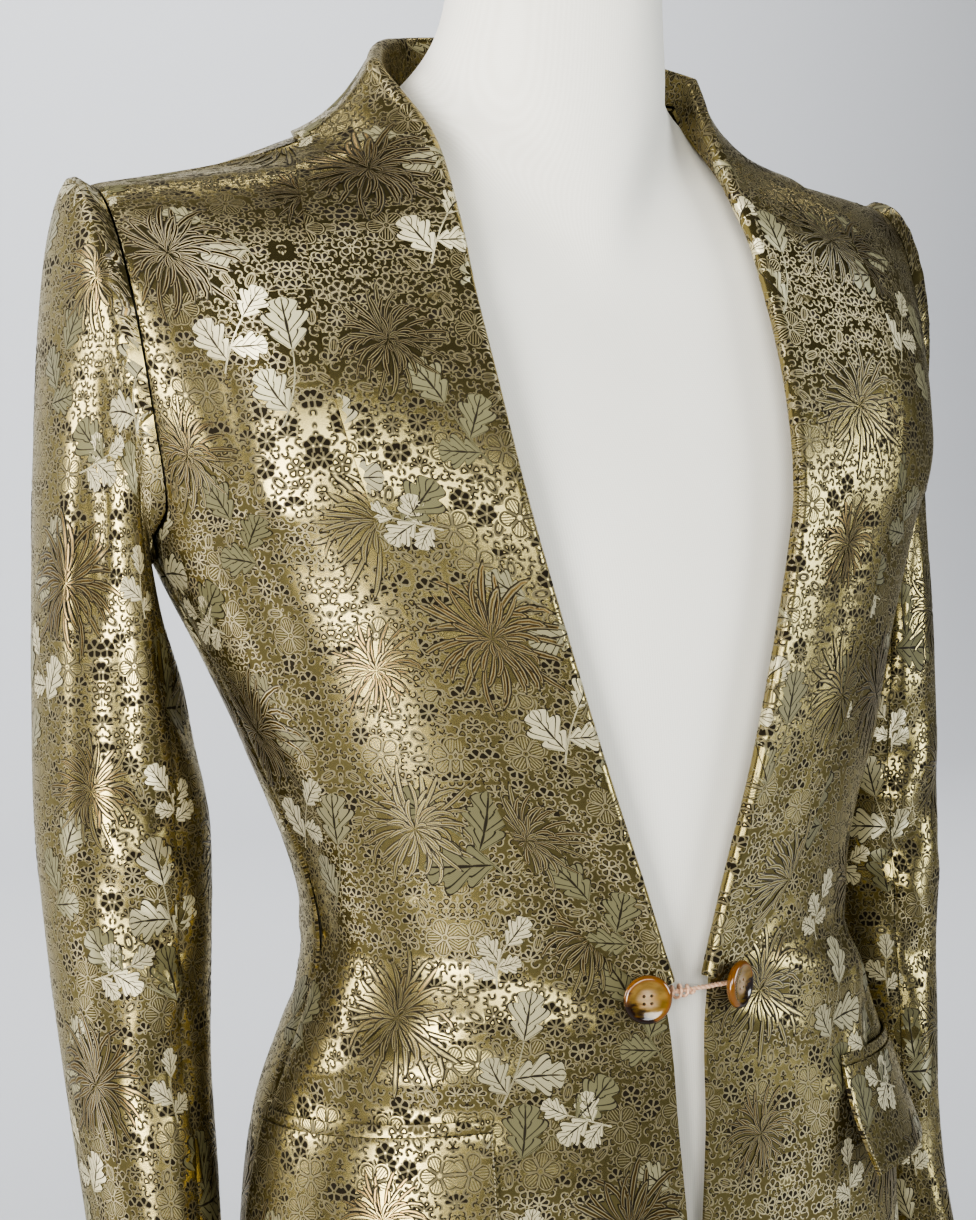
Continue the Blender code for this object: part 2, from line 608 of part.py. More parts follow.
def form_torso():
    """The form's body from the same rows as the coat, its neck, and faces over armholes and bottom."""
    bm = bmesh.new()
    neckline = []
    for table, top in ((FRONT, FRONT_TOP), (BACK, BACK_TOP)):
        uppermost = np.arange(8 if table is FRONT else NAPE, top + .1, .5)
        rows = [*FORM_ROWS, *np.arange(UNDERARM + 1, uppermost[0]), *uppermost]
        grid = [form_row(table, at) for at in rows]
        edge = [row[0] for row, at in zip(grid, rows) if at >= uppermost[0]]
        neckline += edge if table is FRONT else edge[-2::-1]
        for sign in (1, -1):
            made = [[bm.verts.new((sign * max(p[0], 0), p[1], p[2])) for p in row] for row in grid]
            for low, high in zip(made, made[1:]):
                for j in range(len(high) - 1):
                    bm.faces.new([low[j], low[j + 1], high[j + 1], high[j]])
                if len(low) > len(high):
                    bm.faces.new([low[-2], low[-1], high[-1]])
    middle = NECK["root"][5]
    angles = [math.atan2(max(p[0], 0), middle - p[1]) for p in neckline]
    rings = [neckline] + [[neck_point(values, angle) for angle in angles] for values in NECK.values()]
    for sign in (1, -1):
        made = [[bm.verts.new((sign * max(p[0], 0), p[1], p[2])) for p in ring] for ring in rings]
        for low, high in zip(made, made[1:]):
            for j in range(len(high) - 1):
                bm.faces.new([low[j], low[j + 1], high[j + 1], high[j]])
    bmesh.ops.remove_doubles(bm, verts=bm.verts, dist=.0001)
    bmesh.ops.dissolve_degenerate(bm, edges=bm.edges, dist=.00005)
    bmesh.ops.holes_fill(bm, edges=[e for e in bm.edges if e.is_boundary], sides=0)
    bm.verts.index_update()
    points = [tuple(v.co) for v in bm.verts]
    faces = [[v.index for v in f.verts] for f in bm.faces]
    bm.free()
    return points, faces


def neck_cap():
    """The turned cap that closes the form's neck."""
    sides = 32
    points, faces = [], []
    for values in NECK_CAP.values():
        points += [neck_point(values, 2 * math.pi * k / sides) for k in range(sides)]
    for i in range(len(NECK_CAP) - 1):
        for k in range(sides):
            m = (k + 1) % sides
            faces.append([i * sides + k, i * sides + m, (i + 1) * sides + m, (i + 1) * sides + k])
    faces.append(list(range(sides)))
    faces.append(list(range((len(NECK_CAP) - 1) * sides, len(NECK_CAP) * sides)))
    return points, faces


def from_floor(profile, sides):
    """A solid turned about the pole's axis, its heights given from the floor."""
    points, faces = turned(profile, sides, (0, 0, 0), (0, 0, 1))
    return [(x, y, z - NAPE_HEIGHT) for x, y, z in points], faces


SLEEVE_RINGS = (0, .5, 1, 1.6, 2.3, 3, 4, 5, 6, 6.6, 7.2, 7.7, 8.1, 8.5, 8.9, 9.3, 9.8, 10.4, 11.2, 12)
LOWER_ROWS = (0, .07, .18, .35, .7, 1.1, 1.6, 2.1, 2.6, BREAK, 3.3, 3.8, 4.3, 4.7, UNDERARM)
FORM_ROWS = (.1, .35, 1.1, 2.1, 2.6, BREAK, 3.3, 3.8, 4.3, 4.7, UNDERARM)
FRONT_ROWS = (*LOWER_ROWS, *np.arange(UNDERARM + .5, FRONT_TOP, .5), FRONT_TOP - SEAM_AT)
BACK_ROWS = (0, *LOWER_ROWS[3:], *np.arange(UNDERARM + .5, BACK_TOP, .5), BACK_TOP - SEAM_AT)
CLOTH, CLOTH_SHINE = (.33, .28, .13), .38
LINEN, WOOD, STEEL = (.80, .76, .66), (.30, .17, .08), (.55, .56, .57)

for side, mirror in (("left", False), ("right", True)):
    finish(f"front_{side}", panel(FRONT, FRONT_ROWS, front_shares), CLOTH, CLOTH_SHINE, .4, mirror)
    finish(f"back_{side}", panel(BACK, BACK_ROWS, back_shares), CLOTH, CLOTH_SHINE, .4, mirror)
    turns = 2 * math.pi * ARMHOLE_RUN
    over = np.concatenate([turns[BACK_SEAM:] - 2 * math.pi, turns[1:FRONT_SEAM + 1]])
    finish(f"sleeve_top_{side}", sleeve_piece(over), CLOTH, CLOTH_SHINE, .4, mirror)
    under = turns[FRONT_SEAM:BACK_SEAM + 1]
    finish(f"sleeve_under_{side}", sleeve_piece(under), CLOTH, CLOTH_SHINE, .4, mirror)
    finish(f"collar_{side}", collar(), CLOTH, CLOTH_SHINE, .4, mirror)
    finish(f"jetting_{side}", jetting(), CLOTH, CLOTH_SHINE, .4, mirror, 30)
    finish(f"flap_{side}", flap(side), CLOTH, CLOTH_SHINE, .4, mirror, 30)
    button(side)
link()
finish("form_torso", form_torso(), LINEN, .85)
finish("form_neck_cap", neck_cap(), WOOD, .35, smooth=30)
finish("form_pole", from_floor(POLE_PROFILE, 24), STEEL, .25, 1.0, smooth=30)
finish("form_base", from_floor(BASE_PROFILE, 48), WOOD, .35, smooth=30)
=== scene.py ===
"""Brocade day coat with a shawl collar and a link front, on its dress form.

Metres, +Z up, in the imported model's frame. The tables are the part's own: they give heights from
the nape and describe the wearer's left half, and the right half is its mirror image.
"""
import math

import bmesh
import bpy
import numpy as np
from mathutils import Matrix, Vector


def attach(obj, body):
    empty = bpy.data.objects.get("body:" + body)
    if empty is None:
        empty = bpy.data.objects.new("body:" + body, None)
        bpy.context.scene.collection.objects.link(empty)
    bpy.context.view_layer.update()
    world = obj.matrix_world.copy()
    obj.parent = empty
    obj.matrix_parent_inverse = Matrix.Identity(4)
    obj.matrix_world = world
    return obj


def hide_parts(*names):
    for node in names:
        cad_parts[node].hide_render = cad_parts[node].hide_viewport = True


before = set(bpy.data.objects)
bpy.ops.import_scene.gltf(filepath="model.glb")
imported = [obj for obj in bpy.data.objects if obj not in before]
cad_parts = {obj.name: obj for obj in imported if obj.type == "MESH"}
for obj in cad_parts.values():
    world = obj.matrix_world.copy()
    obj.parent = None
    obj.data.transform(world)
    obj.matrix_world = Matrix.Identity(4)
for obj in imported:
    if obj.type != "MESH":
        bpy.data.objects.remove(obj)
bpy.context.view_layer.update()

NAPE_HEIGHT = 0.905
WALL = 0.0022           # brocade, interlining and lining together
SEAM = 0.0003           # space between pieces that are sewn together
LAID = 0.0009           # space under a piece that lies on a panel
SEAM_U = 0.0006         # half of the space at an upright seam, as a share of a body row
SEAM_AT = 0.012         # half of the space at the shoulder seam, in rows
ROLL_RADIUS = 0.0032    # bend of the collar at its roll line
LINK_HEIGHT = -0.455
LINK_RADIUS = 0.0012

# The part's own tables. Every row starts with its place. A row of the body then has its centre end and
# its side end, each as height, x and y, the turn in degrees and the drop of its curve at the centre and
# at the side, and the reach of the curve's handles.
FRONT = {
    "hem":      (0, -.760, 0, -.166, -.752, .1990, -.040, 0, 0, 90, 0, .60),
    "hip":      (1, -.620, 0, -.163, -.620, .1910, -.042, 0, 0, 90, 0, .60),
    "high hip": (2, -.530, 0, -.161, -.530, .1805, -.044, 0, 0, 90, 0, .60),
    "waist":    (3, -.437, 0, -.155, -.437, .1505, -.045, 0, 0, 90, 0, .60),
    "rib":      (4, -.340, 0, -.155, -.340, .1765, -.036, 0, 0, 90, 0, .62),
    "underarm": (5, -.245, 0, -.150, -.245, .2150, -.012, 0, 0, 90, 0, .64),
    "scye 1":   (6, -.205, 0, -.141, -.215, .2185, -.040, 0, 0, 80, 0, .62),
    "scye 2":   (7, -.160, 0, -.124, -.170, .2255, -.047, 0, 0, 68, 0, .58),
    "scye 3":   (8, -.115, 0, -.103, -.122, .2300, -.040, 0, 0, 56, 0, .50),
    "scye 4":   (9, -.080, .018, -.086, -.084, .2330, -.024, 0, 0, 42, .05, .42),
    "scye 5":   (10, -.037, .055, -.052, -.063, .2345, -.005, 0, .25, 25, .15, .38),
    "shoulder": (11, -.008, .086, -.012, -.0555, .2350, .015, 5, .70, 10, .16, .36),
}
BACK = {
    "hem":      (0, -.760, 0, .087, -.752, .1990, -.040, 0, 0, 90, 0, .60),
    "hip":      (1, -.620, 0, .087, -.620, .1910, -.042, 0, 0, 90, 0, .60),
    "high hip": (2, -.530, 0, .080, -.530, .1805, -.044, 0, 0, 90, 0, .60),
    "waist":    (3, -.437, 0, .070, -.437, .1505, -.045, 0, 0, 90, 0, .60),
    "rib":      (4, -.340, 0, .078, -.340, .1765, -.036, 0, 0, 90, 0, .62),
    "underarm": (5, -.245, 0, .100, -.245, .2150, -.012, 0, 0, 90, 0, .62),
    "scye 1":   (6, -.200, 0, .106, -.220, .2170, .030, 0, 0, 80, 0, .60),
    "scye 2":   (7, -.150, 0, .108, -.175, .2200, .056, 0, 0, 62, 0, .52),
    "scye 3":   (8, -.095, 0, .103, -.128, .2240, .064, 0, 0, 45, 0, .46),
    "scye 4":   (9, -.040, 0, .087, -.092, .2290, .056, 0, 0, 32, .05, .40),
    "nape":     (10, .000, 0, .062, -.071, .2325, .043, 0, .10, 22, .15, .38),
    "scye 5":   (11, .002, .056, .038, -.060, .2340, .030, 0, .45, 15, .16, .36),
    "shoulder": (12, -.008, .086, -.012, -.0555, .2350, .015, -5, .70, -10, .16, .36),
}
FRONT_TOP, BACK_TOP, NAPE, UNDERARM, BREAK = 11, 12, 10, 5, 2.85
SIDE_SEAM = dict(list(FRONT.items())[:UNDERARM + 1])    # both panels share its line
# x of the roll line, x of the outer edge, and the collar's stand and its lean in degrees
LAPEL = {
    "hem corner": (0, .046, .090, .0015, 0),
    "corner 1":   (.07, .022, .070, .0015, 0),
    "corner 2":   (.18, .010, .055, .0015, 0),
    "corner 3":   (.35, .004, .045, .0015, 0),
    "hip":        (1, .003, .040, .0015, 0),
    "high hip":   (2, .008, .036, .0015, 0),
    "break":      (2.85, .0145, .0250, .0015, 0),
    "waist":      (3, .0185, .0410, .0015, 0),
    "rib":        (4, .0490, .1026, .0015, 0),
    "underarm":   (5, .0745, .1380, .0015, 0),
    "scye 1":     (6, .0825, .1490, .0015, 0),
    "scye 2":     (7, .0870, .1590, .0015, 0),
    "scye 3":     (8, .0890, .1605, .0020, 5),
    "scye 4":     (9, .0885, .1550, .0040, 20),
    "scye 5":     (10, .0860, .1465, .0090, 50),
    "shoulder":   (11, .0862, .1320, .0140, 76),
}
# the back's row at the seam, its row and share at the outer edge, and the same stand and lean
FALL = {
    "shoulder":    (0, 12.0, 12.0, .314, .0140, 76),
    "side":        (1, 11.5, 10.95, .330, .0190, 70),
    "quarter":     (2, 11.0, 9.85, .335, .0230, 60),
    "near centre": (3, 10.5, 9.38, .170, .0255, 48),
    "centre back": (4, 10.0, 9.15, .000, .0260, 40),
}
# x and height of the outer edge, x and height of the inner one, y of the middle, half the depth, and
# how far the ring follows the armhole
SLEEVE = {
    "armhole": (0, .2350, -.0555, .2130, -.245, .010, .0550, 1.0),
    "head":    (1, .2445, -.0520, .2180, -.252, .015, .0580, .75),
    "cap 1":   (2, .2505, -.0690, .2180, -.259, .020, .0600, .45),
    "cap 2":   (3, .2545, -.0960, .2150, -.267, .025, .0610, .22),
    "cap 3":   (4, .2578, -.1350, .2105, -.277, .029, .0615, .08),
    "cap 4":   (5, .2615, -.1850, .2050, -.290, .031, .0620, 0),
    "biceps":  (6, .2655, -.2450, .1975, -.308, .030, .0620, 0),
    "upper":   (7, .2690, -.3100, .1906, -.338, .028, .0615, 0),
    "elbow 1": (8, .2715, -.3750, .1850, -.380, .025, .0600, 0),
    "elbow 2": (9, .2695, -.4350, .1872, -.435, .020, .0575, 0),
    "forearm": (10, .2646, -.5050, .1920, -.505, .014, .0540, 0),
    "lower":   (11, .2575, -.6000, .1935, -.600, .001, .0505, 0),
    "cuff":    (12, .2580, -.6850, .2030, -.685, -.018, .0475, 0),
}
# The sleeve's largest folds, the part's own too: place in rings and in degrees round from the outer
# edge, spread in each direction, slope, of which 30 is one ring in 60 degrees, and depth.
SLEEVE_FOLDS = {
    "front break 1": (7.9, 100, .34, 34, 14, .0042),
    "front break 2": (8.8, 92, .30, 38, 16, .0055),
    "front break 3": (9.7, 98, .28, 32, -12, .0045),
    "inner drag":    (6.6, 128, .50, 26, 26, .0040),
    "back ease":     (9.2, 270, .40, 36, -10, .0035),
    "cap dent":      (3.4, 72, .90, 13, 8, .0022),
}
POCKET_TOP, POCKET_SLANT = -.514, .010
POCKET_START, POCKET_WIDTH = .100, .142
FLAP_DEPTH, FLAP_WALL = .055, .0024
JETTING_DEPTH, JETTING_WALL = .006, .0014
# How far a flap's lower corners stand off the coat, at its front and at its back. The left flap's are
# the part's own, and the right flap's corners stand off a little more than the part's.
FLAP_FLARE = {"right": (.0040, .0026), "left": (.0190, .0060)}
FLAP_CUT, JETTING_CUT = (.094, .261), (.021, .190)      # where in the pattern each one is cut

GRID = 0.0042           # spacing of the cloth's own points
SIDES = (("left", 1), ("right", -1))
FRONT_SEAM, BACK_SEAM = 7, 7.5      # the front and back rows at which the sleeve's seams start
CUFF = 12               # the sleeve's last ring
MAP_RING = 8.0          # the sleeve's own map is measured round this ring
ARMHOLE_STEP = 0.1      # rows from one of the armhole's corners to the next
BELOW_TOP = 0.02        # rows between the shoulder seam and where its direction is read
ROLL_COLUMN = 10        # the collar's own map starts at this column of its sections
LENGTH_COLUMN = 24      # and its length is measured along this one
SEWN_EDGE = (.0005, .003)       # how deep and how far in the cloth dips at a seam
SLEEVE_EDGE, SLEEVE_HEAD = (.0006, .003), (.0006, .004)     # the same along a sleeve and at its head
PRESSED_EDGE = (.2, .0015)      # the same at a pressed edge, its depth as a share of the thickness
SHORTEST_SHEET = 0.012  # a lower strip is declared this long, with its real area
STITCH_STEP = 0.0019
STITCH_SIZE = (.00062, .00026, .00026)  # half a stitch's length and its thread's half width
STITCH_LIFT = 0.0001    # from the cloth to a stitch's middle


def along(table, at):
    """Every column of a table at places between its rows, on a smooth curve through the rows."""
    rows = np.array(list(table.values()), float)
    place, values = rows[:, 0], rows[:, 1:]
    slopes = np.gradient(values, place, axis=0)
    at = np.asarray(at, float)
    i = np.clip(np.searchsorted(place, at, side="right") - 1, 0, len(place) - 2)
    step = (place[i + 1] - place[i])[..., None]
    t = (at - place[i])[..., None] / step
    return ((2 * t**3 - 3 * t**2 + 1) * values[i] + (t**3 - 2 * t**2 + t) * step * slopes[i]
            + (3 * t**2 - 2 * t**3) * values[i + 1] + (t**3 - t**2) * step * slopes[i + 1])


def unit(vectors):
    return vectors / np.linalg.norm(vectors, axis=-1, keepdims=True)


def body(table, at, u):
    """Points on the body's outer face. u runs from the centre end of a row to its side end."""
    at, u = np.broadcast_arrays(np.asarray(at, float), np.asarray(u, float))
    zc, xc, yc, zs, xs, ys, turn_c, drop_c, turn_s, drop_s, reach = np.moveaxis(along(table, at), -1, 0)
    seam = along(SIDE_SEAM, np.minimum(at, UNDERARM))
    below = at < UNDERARM
    zs, xs, ys = (np.where(below, seam[..., 3 + k], own) for k, own in enumerate((zs, xs, ys)))
    wrap = 1 if table is FRONT else -1
    start = np.stack([np.maximum(xc, 0), yc, zc], -1)
    end = np.stack([xs, ys, zs], -1)
    across, deep = np.abs(xs - xc), np.abs(ys - yc)
    handles = []
    for turn, drop in ((np.radians(turn_c), drop_c), (np.radians(turn_s), drop_s)):
        length = reach * (across * np.cos(turn) + deep * np.sin(turn))
        handles.append(length[..., None] * np.stack([np.cos(turn), wrap * np.sin(turn), -drop], -1))
    first, second = start + handles[0], end - handles[1]
    u = u[..., None]
    return (1 - u)**3 * start + 3 * (1 - u)**2 * u * first + 3 * (1 - u) * u**2 * second + u**3 * end


def face_normal(table, at, u):
    step = 0.004
    at, u = np.broadcast_arrays(np.asarray(at, float), np.asarray(u, float))
    low, high = np.maximum(u - step, 0), np.minimum(u + step, 1)
    sideways = body(table, at, high) - body(table, at, low)
    upward = body(table, at + step, u) - body(table, at - step, u)
    return unit(np.cross(sideways, upward) * (1 if table is FRONT else -1))


def body_normal(table, at, u):
    """The outward direction there. The two sides of the shoulder seam share theirs."""
    at, u = np.broadcast_arrays(np.asarray(at, float), np.asarray(u, float))
    top = FRONT_TOP if table is FRONT else BACK_TOP
    shared = unit(face_normal(FRONT, FRONT_TOP - BELOW_TOP, u) + face_normal(BACK, BACK_TOP - BELOW_TOP, u))
    own = face_normal(table, np.minimum(at, top - BELOW_TOP), u)
    weight = np.clip((at - top + 1) / (1 - 2 * SEAM_AT), 0, 1)[..., None]**3
    normal = unit(own * (1 - weight) + shared * weight)
    if table is BACK:
        normal[(at <= NAPE) & (u <= SEAM_U)] *= (0, 1, 1)
    return unit(normal)


def share_at(table, at, x):
    """The shares of body rows at which they are x from the centre."""
    shares = np.linspace(0, 1, 81)
    rows = body(table, np.atleast_1d(at)[:, None], shares[None])[..., 0]
    return np.array([np.interp(goal, row, shares) for goal, row in zip(np.atleast_1d(x), rows)])


def row_at_height(z):
    """The body row, below the underarm, that lies at a height."""
    rows = np.array(list(FRONT.values()), float)[:UNDERARM + 1]
    return np.interp(z, rows[:, 1], rows[:, 0])


def run_of(points, axis=0):
    """The length along a line of points, or along each line of a grid."""
    steps = np.linalg.norm(np.diff(points, axis=axis), axis=-1)
    start = np.zeros_like(np.take(steps, [0], axis=axis))
    return np.concatenate([start, np.cumsum(steps, axis=axis)], axis=axis)


def even_rows(place, low, high, step=GRID):
    """Values from low to high whose points, given by place, are about a step apart."""
    tries = np.linspace(low, high, 500)
    run = run_of(place(tries))
    return np.interp(np.linspace(0, run[-1], int(run[-1] / step) + 2), run, tries)


def spans(count):
    """Shares across a piece, closer together by its two edges."""
    ends = np.array([0, .3, .65]) / count
    return np.concatenate([ends, np.linspace(1 / count, 1 - 1 / count, count - 1), 1 - ends[::-1]])


def placed(name, data):
    """A new object of the scene that holds the data."""
    thing = bpy.data.objects.new(name, data)
    bpy.context.collection.objects.link(thing)
    return thing


def made_mesh(thing):
    """A plain mesh of an object as its modifiers leave it."""
    shown = thing.evaluated_get(bpy.context.evaluated_depsgraph_get())
    return bpy.data.meshes.new_from_object(shown)


def face_outward(mesh):
    bm = bmesh.new()
    bm.from_mesh(mesh)
    bmesh.ops.recalc_face_normals(bm, faces=bm.faces)
    bm.to_mesh(mesh)
    bm.free()


def grid_faces(rows, columns):
    """The numbers of a grid's points, and its four-cornered faces."""
    index = np.arange(rows * columns).reshape(rows, columns)
    corners = (index[:-1, :-1], index[:-1, 1:], index[1:, 1:], index[1:, :-1])
    return index, np.stack(corners, -1).reshape(-1, 4)


def on_side(points, side):
    """Points of the left half, on either side of the coat and at their height above the floor."""
    return np.reshape(points, (-1, 3)) * (side, 1, 1) + (0, 0, NAPE_HEIGHT)


def new_piece(name, mesh, material, nodes=()):
    """An object that rides on the coat and stands for the named nodes."""
    mesh.materials.clear()
    mesh.materials.append(material)
    thing = placed(name, mesh)
    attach(thing, "root")
    if nodes:
        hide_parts(*nodes)
    return thing


def cloth_mesh(name, outer, inner, flat, side, has_figures):
    """A closed wall between two grids of points, with its weave laid out in metres of flat cloth."""
    index, quads = grid_faces(*outer.shape[:2])
    count = index.size
    points = on_side(np.concatenate([outer.reshape(-1, 3), inner.reshape(-1, 3)]), side)
    rim = np.concatenate([index[:, 0], index[-1, 1:], index[-2::-1, -1], index[0, -2:0:-1]])
    after = np.roll(rim, -1)
    edge = np.stack([rim, after, after + count, rim + count], -1)
    faces = np.concatenate([quads, quads[:, ::-1] + count, edge])
    mesh = bpy.data.meshes.new(name)
    mesh.from_pydata(points.tolist(), [], faces.tolist())
    face_outward(mesh)
    on_map = np.tile(flat.reshape(-1, 2) * (side, 1), (2, 1))
    corners = np.zeros(len(mesh.loops), int)
    mesh.loops.foreach_get("vertex_index", corners)
    mesh.uv_layers.new(name="weave").data.foreach_set("uv", on_map[corners].ravel())
    from_figures = clearing(*on_map.T) if has_figures else np.ones(len(on_map))
    mesh.attributes.new("clearing", "FLOAT", "POINT").data.foreach_set("value", from_figures)
    mesh.shade_smooth()
    mesh.set_sharp_from_angle(angle=math.radians(60))
    return mesh


def cloth_piece(name, outer, inner, across, up, side, rests_on=("form_torso",), stitches=()):
    """A shell of brocade on its solid's form."""
    # the narrow jettings carry no figures, so their filling runs on
    has_figures = not name.startswith("jetting")
    flat = np.stack([across, up], -1)
    mesh = cloth_mesh(name, outer, inner, flat, side, has_figures)
    piece = new_piece(name + "_cloth", mesh, MATERIALS["brocade"], [name])
    figures = []
    if has_figures:
        figures = [laid_on(f"{name}_{kind}", outer, inner, flat, side, sheet, MATERIALS[kind])
                   for kind, sheet in (("flowers", FLAT_FLOWERS), ("leaves", FLAT_LEAVES))]
    corner = outer[:-1, :-1]
    area = np.linalg.norm(np.cross(outer[1:, :-1] - corner, outer[:-1, 1:] - corner), axis=-1).sum()
    width = max(float(np.ptp(across)), float(run_of(outer, 1)[:, -1].max()))
    length = max(float(np.ptp(up)), SHORTEST_SHEET)
    width, length = round(width, 3), round(length, 3)
    list(rests_on)
    figures + list(stitches)
    return piece


def crease_depth(creases, across, up):
    """How far a panel's troughs sink there. A negative depth is a ridge."""
    depth = np.zeros_like(across)
    for at_across, at_up, lean, long, wide, deep, bend in creases:
        turn = math.radians(lean)
        dx, dy = across - at_across, up - at_up
        far = dx * math.cos(turn) + dy * math.sin(turn)
        beside = dy * math.cos(turn) - dx * math.sin(turn) + bend * far**2
        depth += deep * np.exp(-(beside / wide)**2 - (far / long)**4)
    return depth


def seam_dip(grid, edges):
    """The cloth turns in a little at the edges that are sewn: first and last row, first and last column."""
    depth = np.zeros(grid.shape[:2])
    for edge, (deep, wide) in edges.items():
        if edge in ("first column", "last column"):
            run = run_of(grid, 1)
            run = run if edge == "first column" else run[:, -1:] - run
        else:
            run = run_of(grid, 0)
            run = run if edge == "first row" else run[-1:] - run
        depth += deep * np.exp(-(run / wide)**1.5)
    return depth


def panel_faces(place, normal, sink, dip):
    """The outer and inner faces of a panel whose creases sink in and whose sewn edges dip."""
    return place - normal * (sink + dip)[..., None], place - normal * (sink + WALL)[..., None]


def front_grid():
    rows = even_rows(lambda at: body(FRONT, at, .5), 0, FRONT_TOP - SEAM_AT)
    roll = along(LAPEL, rows)[:, 0]
    start = share_at(FRONT, rows, roll)
    shares = start[:, None] + spans(60)[None] * (1 - SEAM_U - start)[:, None]
    return rows[:, None], shares, roll


def front_cloth(name, side):
    rows, shares, roll = front_grid()
    place, normal = body(FRONT, rows, shares), body_normal(FRONT, rows, shares)
    across = roll[:, None] + run_of(place, 1)
    up = np.repeat(run_of(body(FRONT, rows[:, 0], .5))[:, None], shares.shape[1], 1)
    sink = crease_depth(FRONT_CREASES[name], across, up)
    # ridges stay low under the lapel
    sink = np.maximum(sink, -.0004 - np.maximum(across - along(LAPEL, rows)[..., 1], 0) * .4)
    dip = seam_dip(place, {"last column": SEWN_EDGE})
    return cloth_piece(name, *panel_faces(place, normal, sink, dip), across, up, side)


def back_cloth(name, side):
    rows = even_rows(lambda at: body(BACK, at, .5), 0, BACK_TOP - SEAM_AT)[:, None]
    shares = np.repeat((SEAM_U + spans(56) * (1 - 2 * SEAM_U))[None], len(rows), 0)
    place, normal = body(BACK, rows, shares), body_normal(BACK, rows, shares)
    across = run_of(place, 1)
    up = np.repeat(run_of(body(BACK, rows[:, 0], .5))[:, None], shares.shape[1], 1)
    sink = crease_depth(BACK_CREASES[name], across, up)
    dip = seam_dip(place, {"first column": SEWN_EDGE, "last column": SEWN_EDGE})
    return cloth_piece(name, *panel_faces(place, normal, sink, dip), across, up, side)


def armhole_outline():
    """The armhole's corners down the front and up the back, with their shares of the way round."""
    front = body(FRONT, np.arange(FRONT_TOP, UNDERARM - .01, -ARMHOLE_STEP), 1)
    back = body(BACK, np.arange(UNDERARM, BACK_TOP + .01, ARMHOLE_STEP), 1)
    shares = np.concatenate([run_of(front) / run_of(front)[-1] / 2, .5 + run_of(back) / run_of(back)[-1] / 2])
    return np.delete(shares, len(front), 0), np.delete(np.concatenate([front, back]), len(front), 0)


ARMHOLE_RUN, ARMHOLE_POINTS = armhole_outline()
FRONT_TURN = 2 * math.pi * ARMHOLE_RUN[round((FRONT_TOP - FRONT_SEAM) / ARMHOLE_STEP)]
BACK_TURN = 2 * math.pi * ARMHOLE_RUN[round((FRONT_TOP - UNDERARM + BACK_SEAM - UNDERARM) / ARMHOLE_STEP)]


def armhole(turn):
    """Points on the armhole, from the shoulder point forward, down, under and up the back."""
    share = (turn / (2 * math.pi)) % 1
    return np.stack([np.interp(share, ARMHOLE_RUN, ARMHOLE_POINTS[:, k]) for k in range(3)], -1)


def sleeve_ring(values, turn):
    outer_x, outer_z, under_x, under_z, middle_y, half_depth, _scye = np.moveaxis(values, -1, 0)
    nought = np.zeros_like(outer_x)
    middle = np.stack([(outer_x + under_x) / 2, middle_y, (outer_z + under_z) / 2], -1)
    sideways = np.stack([(outer_x - under_x) / 2, nought, (outer_z - under_z) / 2], -1)
    forward = np.stack([nought, -half_depth, nought], -1)
    return middle + np.cos(turn)[..., None] * sideways + np.sin(turn)[..., None] * forward


def sleeve(at, turn):
    """Points on the sleeve's outer face. turn runs from the outer edge round by the front."""
    at, turn = np.broadcast_arrays(np.asarray(at, float), np.asarray(turn, float))
    values = along(SLEEVE, at)
    follow = np.maximum(values[..., 6], 0)[..., None]
    first = sleeve_ring(np.broadcast_to(along(SLEEVE, 0), values.shape), turn)
    point = sleeve_ring(values, turn) + follow * (armhole(turn) - first)
    point[..., 0] += 2 * SEAM * np.minimum(at + 0.9, 1)
    return point


def sleeve_normal(at, turn):
    step = 0.02
    at, turn = np.broadcast_arrays(np.asarray(at, float), np.asarray(turn, float))
    down = sleeve(np.minimum(at + step, CUFF), turn) - sleeve(np.maximum(at - step, 0), turn)
    return unit(np.cross(sleeve(at, turn + step) - sleeve(at, turn - step), down))


def fold_depth(folds, at, turn):
    """How deep the sleeve's folds go there."""
    depth = np.zeros(np.broadcast(at, turn).shape)
    for place, around, tall, wide, slope, deep in folds:
        beside = (np.degrees(turn) % 360 - around + 180) % 360 - 180
        above = at - place - beside / 60 * slope / 30
        depth += deep * np.exp(-(above / tall)**2 - (beside / wide)**2)
    return depth


def sleeve_cloth(name, side, first, last, columns):
    """One of the sleeve's two pieces, between two turns that are its seams."""
    rings = even_rows(lambda at: sleeve(at, np.full(len(at), (first + last) / 2)), 0, CUFF)
    ends, step = np.array([first, last]), .02
    beside = sleeve(rings[:, None], ends + step) - sleeve(rings[:, None], ends - step)
    gap = .7 * SEAM / (np.linalg.norm(beside, axis=-1) / (2 * step))
    turn = first + gap[:, :1] + spans(columns)[None] * (last - first - gap.sum(1)[:, None])
    at = np.repeat(rings[:, None], turn.shape[1], 1)
    place, normal = sleeve(at, turn), sleeve_normal(at, turn)
    ring = sleeve(np.full(turn.shape[1], MAP_RING), turn[len(turn) // 2])
    to_first = run_of(sleeve(np.full(30, MAP_RING), np.linspace(0, first, 30)))[-1]
    before = to_first if first > 0 else -to_first
    across = np.repeat((before + run_of(ring))[None], len(rings), 0)
    down = run_of(place)
    up = down[-1:] - down
    folds = list(SLEEVE_FOLDS.values()) + SMALL_FOLDS[side] + head_puckers(side)
    sink = fold_depth(folds, at, turn)
    dip = seam_dip(place, {"first row": SLEEVE_HEAD, "first column": SLEEVE_EDGE, "last column": SLEEVE_EDGE})
    outer, inner = panel_faces(place, normal, sink, dip)
    return cloth_piece(name, outer[::-1], inner[::-1], across[::-1], up[::-1], side)


FALL_SHARES = spans(34)


